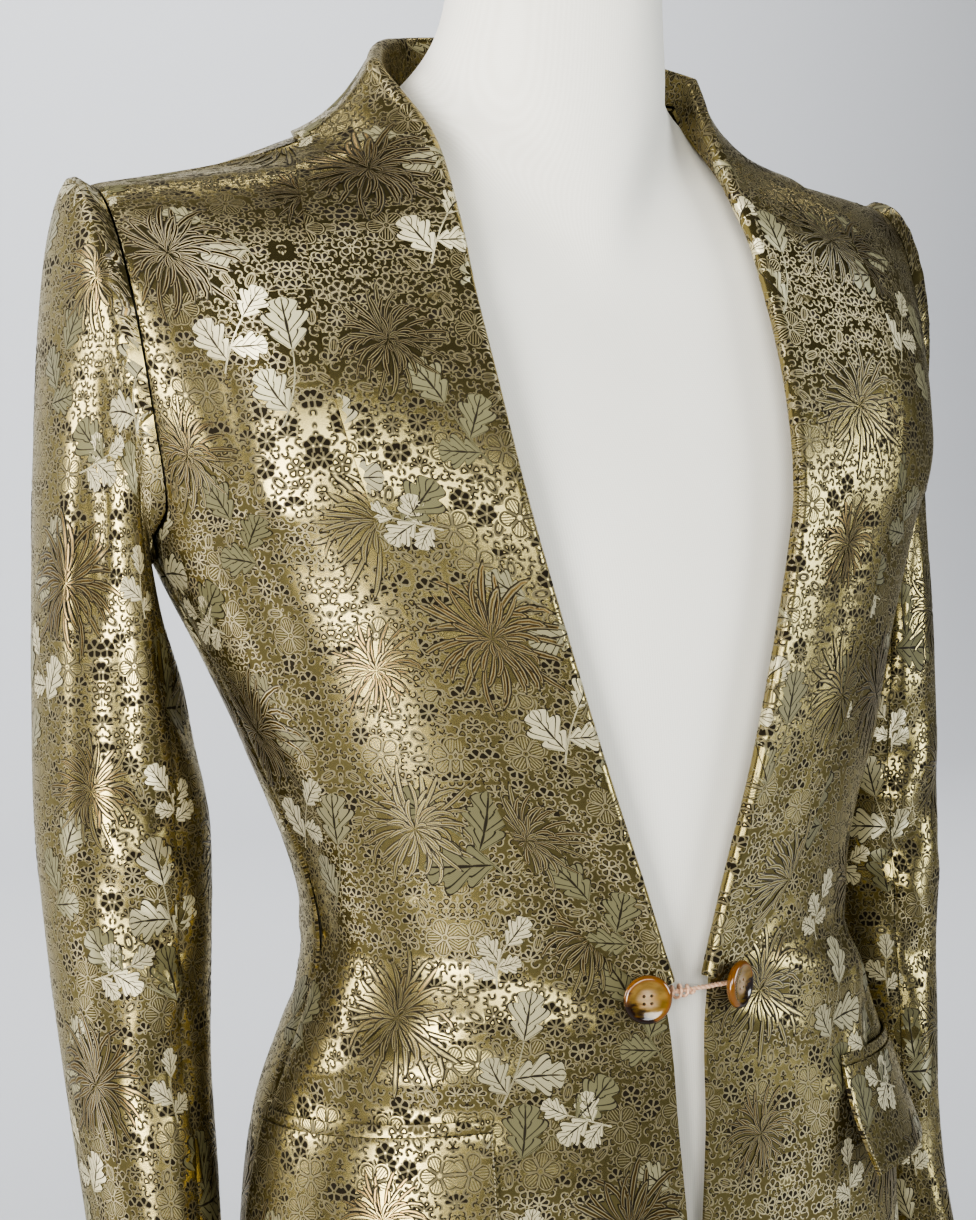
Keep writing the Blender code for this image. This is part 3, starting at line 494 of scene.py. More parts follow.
def collar_sections(table, seam, edge, along_seam, stand, lean):
    """Sections through the collar's middle layer, from its seam over the roll to its outer edge."""
    (seam_at, seam_u), (edge_at, edge_u) = seam, edge
    place, normal = body(table, seam_at, seam_u), body_normal(table, seam_at, seam_u)
    toward = body(table, edge_at, edge_u) - place
    side = unit(np.cross(along_seam, normal))
    side *= np.sign((side * toward).sum(-1, keepdims=True))
    tilt = np.radians(lean)[:, None]
    up = np.sin(tilt) * normal - np.cos(tilt) * side
    out = np.cos(tilt) * normal + np.sin(tilt) * side
    start = place - normal * WALL / 2 * np.cos(tilt) + up * 3 * SEAM
    points = [start + up * stand[:, None] * share for share in np.linspace(0, 1, 6)[:-1]]
    centre = start + up * stand[:, None] + out * ROLL_RADIUS
    for angle in np.radians(np.linspace(0, 180, 9)):
        points.append(centre + ROLL_RADIUS * (math.sin(angle) * up - math.cos(angle) * out))
    rise = points[-1] - (place + normal * (LAID + WALL / 2))
    top = (FRONT_TOP if table is FRONT else BACK_TOP) - BELOW_TOP
    for share in FALL_SHARES[1:]:
        at, u = seam_at + share * (edge_at - seam_at), seam_u + share * (edge_u - seam_u)
        laid = body(table, at, u) + face_normal(table, np.minimum(at, top), u) * (LAID + WALL / 2)
        points.append(laid + (1 - share)**2 * rise)
    return np.stack(points, 1)


def collar_middle():
    """The collar's middle layer, from the break up the lapel and round to the centre back."""

    def roll_line(at):
        return body(FRONT, at, share_at(FRONT, at, along(LAPEL, at)[:, 0]))

    rows = even_rows(roll_line, BREAK, FRONT_TOP)
    roll, edge, stand, lean = along(LAPEL, rows).T
    front_seam = (rows, share_at(FRONT, rows, roll))
    front_edge = (rows, share_at(FRONT, rows, edge))
    steps = np.linspace(0, len(FALL) - 1, 27)[1:]
    seam_at, edge_at, edge_u, back_stand, back_lean = along(FALL, steps).T
    back_seam, back_edge = (seam_at, np.zeros(len(steps))), (edge_at, np.maximum(edge_u, 0))
    line = np.concatenate([body(FRONT, *front_seam), body(BACK, *back_seam)])
    tangent = unit(np.gradient(line, axis=0))
    tangent[-1] = (-1, 0, 0)
    count = len(rows)
    front = collar_sections(FRONT, front_seam, front_edge, tangent[:count], stand, lean)
    back = collar_sections(BACK, back_seam, back_edge, tangent[count:], back_stand, back_lean)
    return np.concatenate([front, back])


def collar_cloth(name, side):
    middle = collar_middle()
    lengthwise = np.gradient(middle, axis=0)
    lengthwise[-1] = (-1, 0, 0)
    outward = -unit(np.cross(lengthwise, np.gradient(middle, axis=1)))
    middle[-1, :, 0] = SEAM / 2
    across = run_of(middle, 1)
    across -= across[:, ROLL_COLUMN, None]
    up = np.repeat(run_of(middle[:, LENGTH_COLUMN])[:, None], middle.shape[1], 1)
    sink = crease_depth(COLLAR_CREASES[name], across, up)[..., None]
    outer, inner = middle + outward * (WALL / 2 - sink), middle - outward * (WALL / 2 + sink)
    side_name = name.removeprefix("collar_")
    rests_on = (f"front_{side_name}_cloth", f"back_{side_name}_cloth")
    return cloth_piece(name, outer, inner, across, up, side, rests_on)


def pocket_grid(depths):
    """Places, directions and shares of a piece that lies along the pocket's mouth."""
    level = row_at_height(POCKET_TOP - depths)
    start = share_at(FRONT, level, np.full(len(level), POCKET_START))
    share = spans(40)
    run = []
    for row, first in zip(level, start):
        tries = np.linspace(first, 1, 61)
        run.append(np.interp(POCKET_WIDTH, run_of(body(FRONT, row, tries)), tries) - first)
    at = row_at_height(POCKET_TOP - depths[:, None] - POCKET_SLANT * share[None])
    u = start[:, None] + share[None] * np.array(run)[:, None]
    return body(FRONT, at, u), face_normal(FRONT, at, u), share


def pocket_cloth(name, side, depths, thickness, flare):
    """A piece laid along the pocket's mouth. flare is how far its lower corners stand off the front."""
    place, normal, share = pocket_grid(depths)
    spread = flare[0] + (flare[1] - flare[0]) * share**0.7
    lift = LAID + (np.maximum(depths, 0)[:, None] / FLAP_DEPTH)**1.6 * spread[None]
    # the edges are pressed over, and each piece is cut from another place of the pattern
    pressed = (thickness * PRESSED_EDGE[0], PRESSED_EDGE[1])
    rolled = seam_dip(place, dict.fromkeys(("first row", "last row", "first column", "last column"), pressed))
    outer, inner = place + normal * (lift + thickness - rolled)[..., None], place + normal * lift[..., None]
    is_flap = name.startswith("flap")
    cut_across, cut_up = FLAP_CUT if is_flap else JETTING_CUT
    across = cut_across + run_of(outer, 1)
    up = np.repeat(-depths[:, None], len(share), 1) + cut_up
    stitches = []
    if is_flap:
        # prick stitches down the edge that faces the front
        line = outer[1:-1, 1] + normal[1:-1, 1] * STITCH_LIFT
        stitches = [sewn_along(name + "_stitches", line, side)]
    return cloth_piece(name, outer, inner, across, up, side, (f"front_{name.split('_')[1]}_cloth",), stitches)


# The woven figures, drawn flat in millimetres within one repeat of the loom.
REPEAT = (190, 250)
FLOWERS = (     # across, up, size, turn in degrees
    (44, 46, 62, 0), (140, 84, 50, 40), (56, 142, 58, 200), (154, 186, 66, 120), (40, 222, 44, 290),
)
SPRAYS = (      # across, up, heading in degrees, number of leaves, length of a leaf, tone
    (92, 4, 60, 3, 27, .55), (176, 18, 120, 3, 28, .1), (94, 62, 95, 4, 17, 1.), (4, 94, 60, 2, 30, .3),
    (100, 116, 130, 3, 34, .1), (170, 122, 70, 3, 24, .75), (6, 178, 110, 2, 27, .35),
    (104, 168, 80, 3, 17, .95), (92, 226, 20, 2, 32, .1), (146, 240, 160, 4, 18, .85),
)
# A flower's rounds: number of petals, and where they start, their reach and their half width as
# shares of its size.
PETAL_ROUNDS = ((22, .08, .51, .027), (17, .06, .40, .026), (12, .04, .26, .024), (8, .01, .12, .020))
PETAL_HEIGHT, PETAL_RISE = .20, .0035       # of the first petal, and from each to the next
LEAF_HEIGHT, LEAF_RISE, STEM_HEIGHT = .13, .02, .12


class Sheet:
    """Flat woven figures: strips and leaves with their own maps, at heights above the ground weave."""

    def __init__(self, seed):
        self.chance = np.random.default_rng(seed)
        self.points, self.faces, self.shape, self.tones, self.clear = [], [], [], [], []

    def strip(self, origin, heading, bend, length, half_width, steps, height, tone, columns=2, sweep=0):
        """A strip along a bent line. half_width gives its half width at shares of its length, and
        sweep how far its sides run ahead, as a share of that width."""
        share = np.linspace(0, 1, steps + 1)
        angle = heading + bend * share
        step = length / steps * np.stack([np.cos(angle), np.sin(angle)], -1)
        line = np.array(origin) + np.concatenate([[(0, 0)], np.cumsum(step[:-1], 0)])
        aside = np.stack([-np.sin(angle), np.cos(angle)], -1) * half_width(share)[:, None]
        ahead = np.stack([np.cos(angle), np.sin(angle)], -1) * half_width(share)[:, None] * sweep
        first = len(self.points)
        spread = np.linspace(-1, 1, columns)
        for k in range(steps + 1):
            for across in spread:
                self.points.append((*(line[k] + across * aside[k] + abs(across) * ahead[k]), height))
                self.shape.append((across / 2 + .5, share[k]))
                self.tones.append(tone)
        for k in range(steps):
            for j in range(columns - 1):
                corner = first + k * columns + j
                self.faces.append((corner, corner + 1, corner + columns + 1, corner + columns))
        return line

    def flower(self, x, y, size, turn):
        """A many-petalled flower: three rounds of bent petals and a knot of small ones."""
        warm = self.chance.uniform(0, 1.2)
        height = PETAL_HEIGHT
        for count, start, reach, width in PETAL_ROUNDS:
            for k in range(count):
                heading = math.radians(turn) + 2 * math.pi * (k + self.chance.uniform(-.3, .3)) / count
                length = size * reach * self.chance.uniform(.72, 1.12)
                bend = self.chance.uniform(-1.3, 1.3) - math.cos(heading)
                origin = (x + size * start * math.cos(heading), y + size * start * math.sin(heading))
                half = size * width * self.chance.uniform(.8, 1.15)
                self.strip(origin, heading - bend / 3, bend, length,
                           lambda t, half=half: half * np.sin(np.pi * np.clip(t, .04, .985)**1.5)**.6, 6,
                           height, warm * .5 + self.chance.uniform(0, .5))
                height += PETAL_RISE
        self.clear.append((x, y, size * .34))

    def leaf(self, origin, heading, length, tone, height):
        half = length * .40
        self.strip(origin, heading, self.chance.uniform(-.5, .5), length * .9,
                   lambda t: half * np.sin(np.pi * np.clip(t, .02, .99)**.8)**.7
                   * (.50 + .50 * np.abs(np.sin(3 * np.pi * t**.9))**.8), 24, height, tone, 5, .45)
        middle = np.array(origin) + length / 2 * np.array([math.cos(heading), math.sin(heading)])
        self.clear.append((*middle, length * .30))

    def spray(self, x, y, heading, count, length, tone):
        """A bent stem with lobed leaves to either side and one at its end."""
        heading = math.radians(heading)
        bend = self.chance.uniform(-.8, .8)
        steps = 9
        stem = self.strip((x, y), heading, bend, length * 1.3, lambda t: .55 - .2 * t, steps,
                          STEM_HEIGHT, tone)
        for k in range(count):
            share = 1 if k == count - 1 else .25 + .6 * k / max(count - 1, 1)
            side = 0 if k == count - 1 else (-1)**k
            angle = heading + bend * share + side * self.chance.uniform(.8, 1.2)
            self.leaf(stem[int(share * steps)], angle, length * self.chance.uniform(.78, 1.1), tone,
                      LEAF_HEIGHT + LEAF_RISE * k)

    def flat_object(self, name):
        mesh = bpy.data.meshes.new(name)
        points = np.array(self.points) / 1000
        mesh.from_pydata(points.tolist(), [], self.faces)
        corners = np.zeros(len(mesh.loops), int)
        mesh.loops.foreach_get("vertex_index", corners)
        mesh.uv_layers.new(name="figure").data.foreach_set("uv", np.array(self.shape)[corners].ravel())
        mesh.attributes.new("tone", "FLOAT", "POINT").data.foreach_set("value", np.array(self.tones))
        return placed(name, mesh)


def woven_figures():
    """The flat flowers and the flat leaves of one repeat, and the circles that they clear."""
    flowers, leaves = Sheet(11), Sheet(23)
    for flower in FLOWERS:
        flowers.flower(*flower)
    for spray in SPRAYS:
        leaves.spray(*spray)
    circles = np.array(flowers.clear + leaves.clear)
    return flowers.flat_object("flat_flowers"), leaves.flat_object("flat_leaves"), circles


def clearing(across, up):
    """The distance in metres from the plain satin round the figures, less than nothing inside it."""
    least = np.full(np.shape(across), 1.0)
    width, length = REPEAT[0] / 1000, REPEAT[1] / 1000
    for x, y, radius in CIRCLES / 1000:
        beside = (across - x + width / 2) % width - width / 2
        above = (up - y + length / 2) % length - length / 2
        least = np.minimum(least, np.hypot(beside, above) - radius)
    return least


class Tree:
    """A geometry nodes tree with named inputs, and a short way to add its nodes."""

    def __init__(self, name, **inputs):
        self.group = bpy.data.node_groups.new(name, "GeometryNodeTree")
        self.group.interface.new_socket("Geometry", in_out="OUTPUT", socket_type="NodeSocketGeometry")
        for label, kind in {"Geometry": "Geometry", **inputs}.items():
            self.group.interface.new_socket(label.replace("_", " "), in_out="INPUT",
                                            socket_type="NodeSocket" + kind)
        self.given = self.group.nodes.new("NodeGroupInput").outputs

    def add(self, kind, *values, settings=(), **sockets):
        """A node's outputs. Its inputs are given in their order, or by their names with _ for a space."""
        node = self.group.nodes.new(kind)
        for setting, value in dict(settings).items():
            setattr(node, setting, value)
        for socket, value in zip(node.inputs, values):
            connect(self.group, value, socket)
        for name, value in sockets.items():
            connect(self.group, value, node.inputs[name.replace("_", " ")])
        return node.outputs

    def maths(self, operation, *values):
        return self.add("ShaderNodeMath", *values, settings={"operation": operation})[0]

    def painted(self, copies):
        """Ends the tree: its copies become real and take their thread's material."""
        real = self.add("GeometryNodeRealizeInstances", Geometry=copies)
        paint = self.add("GeometryNodeSetMaterial", Geometry=real["Geometry"], Material=self.given["Thread"])
        self.add("NodeGroupOutput", Geometry=paint["Geometry"])
        return self.group


def run_tree(thing, group, given):
    """The mesh that a tree makes from an object, which is then removed."""
    step = thing.modifiers.new(group.name, "NODES")
    step.node_group = group
    for item in group.interface.items_tree:
        if item.in_out == "INPUT" and item.name in given:
            step[item.identifier] = given[item.name]
    mesh = made_mesh(thing)
    bpy.data.objects.remove(thing)
    mesh.shade_smooth()
    return mesh


def laying_tree():
    """Geometry nodes that repeat a flat sheet over a piece of cloth, by the cloth's own map."""
    tree = Tree("lay figures", Sheet="Object", First="Vector", Repeat_Width="Float", Repeat_Length="Float",
                Repeats_Across="Int", Repeats_Up="Int", Thread="Material")
    given, add = tree.given, tree.add

    def extent(count, length):
        return tree.maths("MULTIPLY", tree.maths("SUBTRACT", given[count], 1), given[length])

    grid = add("GeometryNodeMeshGrid", Size_X=extent("Repeats Across", "Repeat Width"),
               Size_Y=extent("Repeats Up", "Repeat Length"),
               Vertices_X=given["Repeats Across"], Vertices_Y=given["Repeats Up"])
    move = add("GeometryNodeTransform", Geometry=grid["Mesh"], Translation=given["First"])
    sheet = add("GeometryNodeObjectInfo", Object=given["Sheet"])
    copies = add("GeometryNodeInstanceOnPoints", Points=move["Geometry"], Instance=sheet["Geometry"])
    flat = add("GeometryNodeRealizeInstances", Geometry=copies["Instances"])
    place = add("GeometryNodeInputPosition")[0]
    parts = add("ShaderNodeSeparateXYZ", place)
    on_map = add("ShaderNodeCombineXYZ", X=parts["X"], Y=parts["Y"])[0]
    vector = {"data_type": "FLOAT_VECTOR"}
    weave = add("GeometryNodeInputNamedAttribute", Name="weave", settings=vector)["Attribute"]

    def on_cloth(source):
        """What the cloth has at the place on its map where the flat sheet's point lies."""
        return add("GeometryNodeSampleUVSurface", Mesh=given["Geometry"], Value=source,
                   Source_UV_Map=weave, Sample_UV=on_map, settings=vector)

    point, outward = on_cloth(place), on_cloth(add("GeometryNodeInputNormal")[0])
    lift = add("ShaderNodeVectorMath", outward["Value"], Scale=parts["Z"], settings={"operation": "SCALE"})
    raised = add("ShaderNodeVectorMath", point["Value"], lift[0], settings={"operation": "ADD"})
    missed = add("FunctionNodeBooleanMath", point["Is Valid"], settings={"operation": "NOT"})
    mapped = add("GeometryNodeStoreNamedAttribute", Geometry=flat["Geometry"], Name="weave", Value=on_map,
                 settings={"data_type": "FLOAT2", "domain": "CORNER"})
    marked = add("GeometryNodeStoreNamedAttribute", Geometry=mapped["Geometry"], Name="missed",
                 Value=missed[0], settings={"data_type": "BOOLEAN"})
    laid = add("GeometryNodeSetPosition", Geometry=marked["Geometry"], Position=raised[0])
    was_missed = add("GeometryNodeInputNamedAttribute", Name="missed", settings={"data_type": "BOOLEAN"})
    cut = add("GeometryNodeDeleteGeometry", Geometry=laid["Geometry"], Selection=was_missed["Attribute"])
    return tree.painted(cut["Geometry"])


def sewing_tree():
    """Geometry nodes that set stitches at even steps along the line of a seam."""
    tree = Tree("sew stitches", Step="Float", Stitch_Size="Vector", Thread="Material")
    given, add = tree.given, tree.add
    line = add("GeometryNodeMeshToCurve", Mesh=given["Geometry"])
    steps = add("GeometryNodeCurveToPoints", Curve=line["Curve"], Length=given["Step"],
                settings={"mode": "LENGTH"})
    turn = add("FunctionNodeAlignRotationToVector", Vector=steps["Tangent"], settings={"axis": "X"})
    ball = add("GeometryNodeMeshUVSphere", Segments=8, Rings=6)
    stitch = add("GeometryNodeTransform", Geometry=ball["Mesh"], Scale=given["Stitch Size"])
    sewn = add("GeometryNodeInstanceOnPoints", Points=steps["Points"], Rotation=turn["Rotation"],
               Instance=stitch["Geometry"])
    return tree.painted(sewn["Instances"])


def sewn_along(name, line, side):
    """A row of small stitches along a line of points."""
    points = on_side(line, side)
    mesh = bpy.data.meshes.new(name)
    mesh.from_pydata(points.tolist(), [(k, k + 1) for k in range(len(points) - 1)], [])
    given = {"Step": STITCH_STEP, "Stitch Size": STITCH_SIZE, "Thread": MATERIALS["silk"]}
    return new_piece(name, run_tree(placed(name, mesh), SEWING, given), MATERIALS["silk"])


def laid_on(name, outer, inner, flat, side, sheet, thread):
    """One sheet's figures laid on the outer face of a piece, as a mesh of its own."""
    quads = grid_faces(*outer.shape[:2])[1]
    points = on_side(outer, side)
    places = flat.reshape(-1, 2) * (side, 1)
    outward = ((outer - inner) * (side, 1, 1)).reshape(-1, 3)[quads[:, 0]]
    first = points[quads[:, 0]]
    facing = np.cross(points[quads[:, 1]] - first, points[quads[:, 3]] - first)
    if (facing * outward).sum() < 0:
        quads = quads[:, ::-1]
    mesh = bpy.data.meshes.new(name)
    mesh.from_pydata(points.tolist(), [], quads.tolist())
    mesh.uv_layers.new(name="weave").data.foreach_set("uv", places[quads.ravel()].ravel())
    mesh.shade_smooth()
    width, length = REPEAT[0] / 1000, REPEAT[1] / 1000
    start = np.floor(places.min(0) / (width, length)) - 1
    count = np.ceil(places.max(0) / (width, length)) - start + 1
    middle = (start + (count - 1) / 2) * (width, length)
    given = {"Sheet": sheet, "First": (*middle, 0), "Repeat Width": width, "Repeat Length": length,
             "Repeats Across": int(round(count[0])), "Repeats Up": int(round(count[1])), "Thread": thread}
    return new_piece(name, run_tree(placed(name, mesh), LAYING, given), thread)


# The main creases: across, up, lean in degrees, length, width, depth, bend.
FRONT_CREASES = {
    "front_right": [
        (.158, .274, 5, .058, .0150, -.0038, 0),        # drag from the link to the side, and its hollows
        (.098, .295, 4, .050, .0085, -.0024, .6),
        (.125, .324, 3, .080, .0110, .0026, .4),
        (.150, .250, -3, .055, .0090, .0022, 0),
        (.200, .300, 12, .030, .0070, -.0018, 0),
        (.196, .262, -8, .024, .0060, -.0014, 0),
        (.060, .318, 22, .032, .0065, -.0011, 1.5),     # short pulls round the button
        (.052, .284, -18, .034, .0070, -.0012, -1.2),
        (.205, .362, 84, .060, .0140, .0030, 0),        # hollow along the side of the waist
        (.186, .412, 62, .050, .0110, -.0016, .8),
        (.212, .520, 70, .055, .0120, .0028, 0),        # slack below the armhole
        (.190, .552, 48, .045, .0090, -.0014, 0),
        (.215, .600, 82, .050, .0080, .0014, 0),
        (.120, .232, 4, .030, .0055, -.0010, 0),        # puckers along the pocket
        (.158, .233, -5, .022, .0045, .0011, 0),
        (.188, .231, 6, .024, .0050, -.0011, 0),
        (.074, .213, 2, .050, .0110, -.0018, 0),
        (.185, .120, 84, .110, .0180, .0034, 0),        # soft flutes of the skirt
        (.140, .080, 92, .100, .0200, -.0026, 0),
        (.085, .060, 86, .080, .0170, .0022, .3),
    ],
    "front_left": [
        (.130, .285, -4, .055, .0130, -.0032, 0),
        (.085, .302, -7, .044, .0080, -.0020, -.5),
        (.120, .316, -3, .060, .0100, .0022, 0),
        (.128, .283, 78, .052, .0080, -.0026, .4),
        (.150, .262, 70, .040, .0085, .0022, 0),
        (.056, .322, 26, .030, .0065, -.0011, 1.2),
        (.050, .278, -24, .036, .0070, -.0012, -1.0),
        (.202, .372, 80, .060, .0130, .0028, 0),
        (.190, .430, 58, .048, .0100, -.0015, .6),
        (.214, .512, 66, .052, .0120, .0026, 0),
        (.196, .562, 44, .040, .0090, -.0012, 0),
        (.110, .233, 5, .026, .0050, -.0010, 0),
        (.150, .232, -6, .020, .0045, .0010, 0),
        (.190, .110, 88, .110, .0180, .0032, 0),
        (.130, .070, 84, .090, .0190, -.0024, 0),
        (.070, .090, 93, .080, .0160, .0020, 0),
    ],
}
BACK_CREASES = {
    "back_right": [
        (.060, .352, 4, .062, .0110, -.0028, 0),        # folds across the small of the back
        (.055, .326, -3, .070, .0100, .0030, .3),
        (.072, .300, 2, .050, .0100, -.0022, 0),
        (.142, .318, 14, .042, .0085, -.0022, 0),
        (.150, .292, -9, .038, .0080, .0020, 0),
        (.138, .366, 22, .040, .0090, .0020, 0),
        (.165, .470, 62, .075, .0120, .0028, .5),       # drags from the blade to the underarm
        (.148, .512, 52, .060, .0110, -.0018, 0),
        (.178, .600, 78, .070, .0110, .0022, 0),
        (.160, .655, 82, .050, .0090, -.0010, 0),
        (.058, .120, 89, .130, .0200, .0036, 0),        # flutes of the skirt
        (.108, .100, 86, .120, .0210, -.0028, 0),
        (.158, .130, 84, .120, .0180, .0030, 0),
    ],
    "back_left": [
        (.056, .358, -3, .058, .0115, -.0026, 0),
        (.064, .330, 3, .066, .0100, .0030, .2),
        (.068, .304, -4, .054, .0095, -.0020, 0),
        (.146, .310, -12, .044, .0080, -.0022, 0),
        (.140, .338, 8, .040, .0085, .0018, 0),
        (.150, .384, 30, .036, .0090, -.0014, 0),
        (.170, .462, 66, .070, .0120, .0026, .4),
        (.150, .500, 56, .062, .0105, -.0016, 0),
        (.174, .610, 80, .066, .0110, .0020, 0),
        (.062, .110, 91, .130, .0190, .0034, 0),
        (.114, .120, 87, .110, .0200, -.0026, 0),
        (.160, .110, 85, .120, .0180, .0028, 0),
    ],
}
COLLAR_CREASES = {
    "collar_right": [
        (.018, .060, 70, .050, .0080, .0007, 0),
        (.040, .180, 76, .060, .0140, .0008, 0),
        (.035, .420, 82, .060, .0120, .0006, 0),
    ],
    "collar_left": [
        (.020, .070, 66, .050, .0085, .0007, 0),
        (.044, .200, 80, .060, .0130, .0008, 0),
        (.030, .430, 78, .060, .0120, .0006, 0),
    ],
}
# The sleeves' smaller folds, as rows of the same columns as the largest ones.
SMALL_FOLDS = {
    -1: [
        (5.3, 54, 1.10, 11, 0, .0030), (6.7, 74, 1.00, 12, 0, .0032), (5.9, 98, 1.30, 9, 0, -.0014),
        (6.9, 36, 1.40, 12, 0, -.0016), (8.3, 108, .14, 20, 10, -.0022), (8.7, 106, .10, 16, -8, .0020),
        (9.3, 104, .13, 22, 9, -.0024), (9.9, 110, .11, 18, -11, .0022), (10.3, 104, .14, 16, 6, -.0018),
        (10.6, 92, .90, 7, 0, -.0016), (9.0, 60, .16, 16, 20, -.0012), (9.6, 48, .20, 18, -18, .0012),
        (7.4, 250, .30, 24, 14, .0018), (8.8, 300, .34, 26, -16, .0020), (11.2, 70, .24, 30, 12, .0012),
        (11.3, 200, .28, 30, -9, .0014), (4.6, 262, .80, 11, 0, .0018),
    ],
    1: [
        (5.1, 62, 1.00, 11, 0, .0028), (6.4, 84, 1.10, 11, 0, .0030), (5.4, 108, 1.20, 9, 0, -.0014),
        (7.2, 40, 1.20, 12, 0, -.0016), (8.5, 98, .13, 20, -9, -.0024), (8.9, 90, .11, 18, 8, .0022),
        (9.4, 94, .14, 22, -10, -.0024), (9.9, 84, .12, 20, 9, .0024), (10.4, 90, .13, 18, -6, -.0020),
        (10.9, 76, .16, 18, 8, .0014), (9.2, 56, .18, 16, -16, -.0012), (7.0, 256, .32, 24, -12, .0018),
        (8.9, 296, .30, 26, 15, .0020), (11.3, 64, .24, 30, -12, .0012), (4.4, 258, .80, 11, 0, .0018),
    ],
}
# Small puckers where the sleeve's head is eased into the armhole: place round in degrees, and depth.
HEAD_PUCKERS = (
    (24, .0006), (35, .0009), (44, .0007), (55, .0011), (63, .0008), (74, .0010), (83, .0012),
    (94, .0009), (104, .0011), (262, .0008), (273, .0010), (285, .0007), (296, .0011), (306, .0008),
    (318, .0009), (331, .0006),
)


def head_puckers(side):
    """The puckers as folds, a little different on each side."""
    folds = []
    for turn, deep in HEAD_PUCKERS:
        place, tall = .9 + .25 * math.sin(turn * 1.7 + side), .62 + .16 * math.cos(turn)
        folds.append((place, turn + 2 * side, tall, 2.7, 0, deep))
    return folds


class Amount:
    """A number in a material's nodes. Sums of amounts add the nodes that work them out."""

    def __init__(self, tree, socket):
        self.tree, self.socket = tree, socket

    def maths(self, operation, *others):
        node = self.tree.nodes.new("ShaderNodeMath")
        node.operation = operation
        for socket, value in zip(node.inputs, (self, *others)):
            connect(self.tree, value, socket)
        return Amount(self.tree, node.outputs[0])

    def __add__(self, other):
        return self.maths("ADD", other)

    def __sub__(self, other):
        return self.maths("SUBTRACT", other)

    def __mul__(self, other):
        return self.maths("MULTIPLY", other)

    def __truediv__(self, other):
        return self.maths("DIVIDE", other)

    def __abs__(self):
        return self.maths("ABSOLUTE")

    def least(self, other):
        return self.maths("MINIMUM", other)

    def most(self, other):
        return self.maths("MAXIMUM", other)

    def within(self, width, soft=.25):
        """1 where the amount is under the width, 0 where it is over, with a soft step between."""
        node = self.tree.nodes.new("ShaderNodeMapRange")
        node.interpolation_type = "SMOOTHSTEP"
        connect(self.tree, self, node.inputs["Value"])
        node.inputs["From Min"].default_value = width - soft / 2
        node.inputs["From Max"].default_value = width + soft / 2
        node.inputs["To Min"].default_value = 1
        node.inputs["To Max"].default_value = 0
        return Amount(self.tree, node.outputs["Result"])

    def beyond(self, width, soft=.25):
        return self.within(width, soft) * -1 + 1

    def line(self, width, soft=.25):
        return abs(self).within(width / 2, soft)


def connect(tree, value, socket):
    if isinstance(value, Amount):
        tree.links.new(value.socket, socket)
    elif isinstance(value, bpy.types.NodeSocket):
        tree.links.new(value, socket)
    elif isinstance(value, tuple) and len(value) == 3 and socket.type == "RGBA":
        socket.default_value = (*value, 1)
    else:
        socket.default_value = value


class Finish:
    """A material that is being made, with the few kinds of node that its patterns need."""

    def __init__(self, name):
        self.material = bpy.data.materials.new(name)
        self.material.use_nodes = True
        self.tree = self.material.node_tree
        self.shader = self.tree.nodes["Principled BSDF"]

    def node(self, kind, output, settings=(), **sockets):
        node = self.tree.nodes.new("ShaderNode" + kind)
        for name, value in dict(settings).items():
            setattr(node, name, value)
        for name, value in sockets.items():
            connect(self.tree, value, node.inputs[name.replace("_", " ")])
        return node.outputs[output]

    def amount(self, socket):
        return Amount(self.tree, socket)

    def parts(self, vector):
        node = self.tree.nodes.new("ShaderNodeSeparateXYZ")
        self.tree.links.new(vector, node.inputs[0])
        return [self.amount(output) for output in node.outputs]

    def point(self, x, y, z=0.0):
        return self.node("CombineXYZ", "Vector", X=x, Y=y, Z=z)

    def flat_cloth(self, name):
        """The place on a piece's own map of that name."""
        return self.parts(self.node("UVMap", "UV", {"uv_map": name}))

    def place(self):
        """The place in the frame, in metres."""
        return self.parts(self.node("TexCoord", "Object"))

    def attribute(self, name):
        return self.amount(self.node("Attribute", "Fac", {"attribute_name": name}))

    def blend(self, share, first, second):
        node = self.tree.nodes.new("ShaderNodeMix")
        node.data_type = "RGBA"
        connect(self.tree, share, node.inputs[0])
        connect(self.tree, first, node.inputs[6])
        connect(self.tree, second, node.inputs[7])
        return node.outputs[2]

    def mix(self, share, first, second):
        """A number that goes from the first to the second as the share goes from 0 to 1."""
        node = self.tree.nodes.new("ShaderNodeMix")
        for value, socket in zip((share, first, second), (0, 2, 3)):
            connect(self.tree, value, node.inputs[socket])
        return self.amount(node.outputs[0])

    def noise(self, vector, scale, detail=2.0, roughness=.5):
        return self.amount(self.node("TexNoise", "Fac", Vector=vector, Scale=scale, Detail=detail,
                                     Roughness=roughness))

    def cells(self, across, up, size, randomness):
        """Scattered cells: the place from the middle of each in millimetres, and three random numbers."""
        node = self.tree.nodes.new("ShaderNodeTexVoronoi")
        node.voronoi_dimensions = "2D"
        node.inputs["Scale"].default_value = 1
        node.inputs["Randomness"].default_value = randomness
        self.tree.links.new(self.point(across / size, up / size), node.inputs["Vector"])
        middle_x, middle_y, _ = self.parts(node.outputs["Position"])
        chances = self.parts(node.outputs["Color"])
        return across - middle_x * size, up - middle_y * size, chances

    def set(self, **values):
        for name, value in values.items():
            connect(self.tree, value, self.shader.inputs[name.replace("_", " ")])

    def bump(self, height, distance, strength=1.0, **base):
        self.set(Normal=self.node("Bump", "Normal", Height=height, Distance=distance, Strength=strength,
                                  **base))

    def leaning(self, share):
        """The surface's direction, leaning up the cloth where threads float across the satin's own."""
        leant = self.point(.5, share * THREAD_LEAN / 2 + .5, 1.0)
        return self.node("NormalMap", "Normal", {"uv_map": "weave"}, Color=leant)


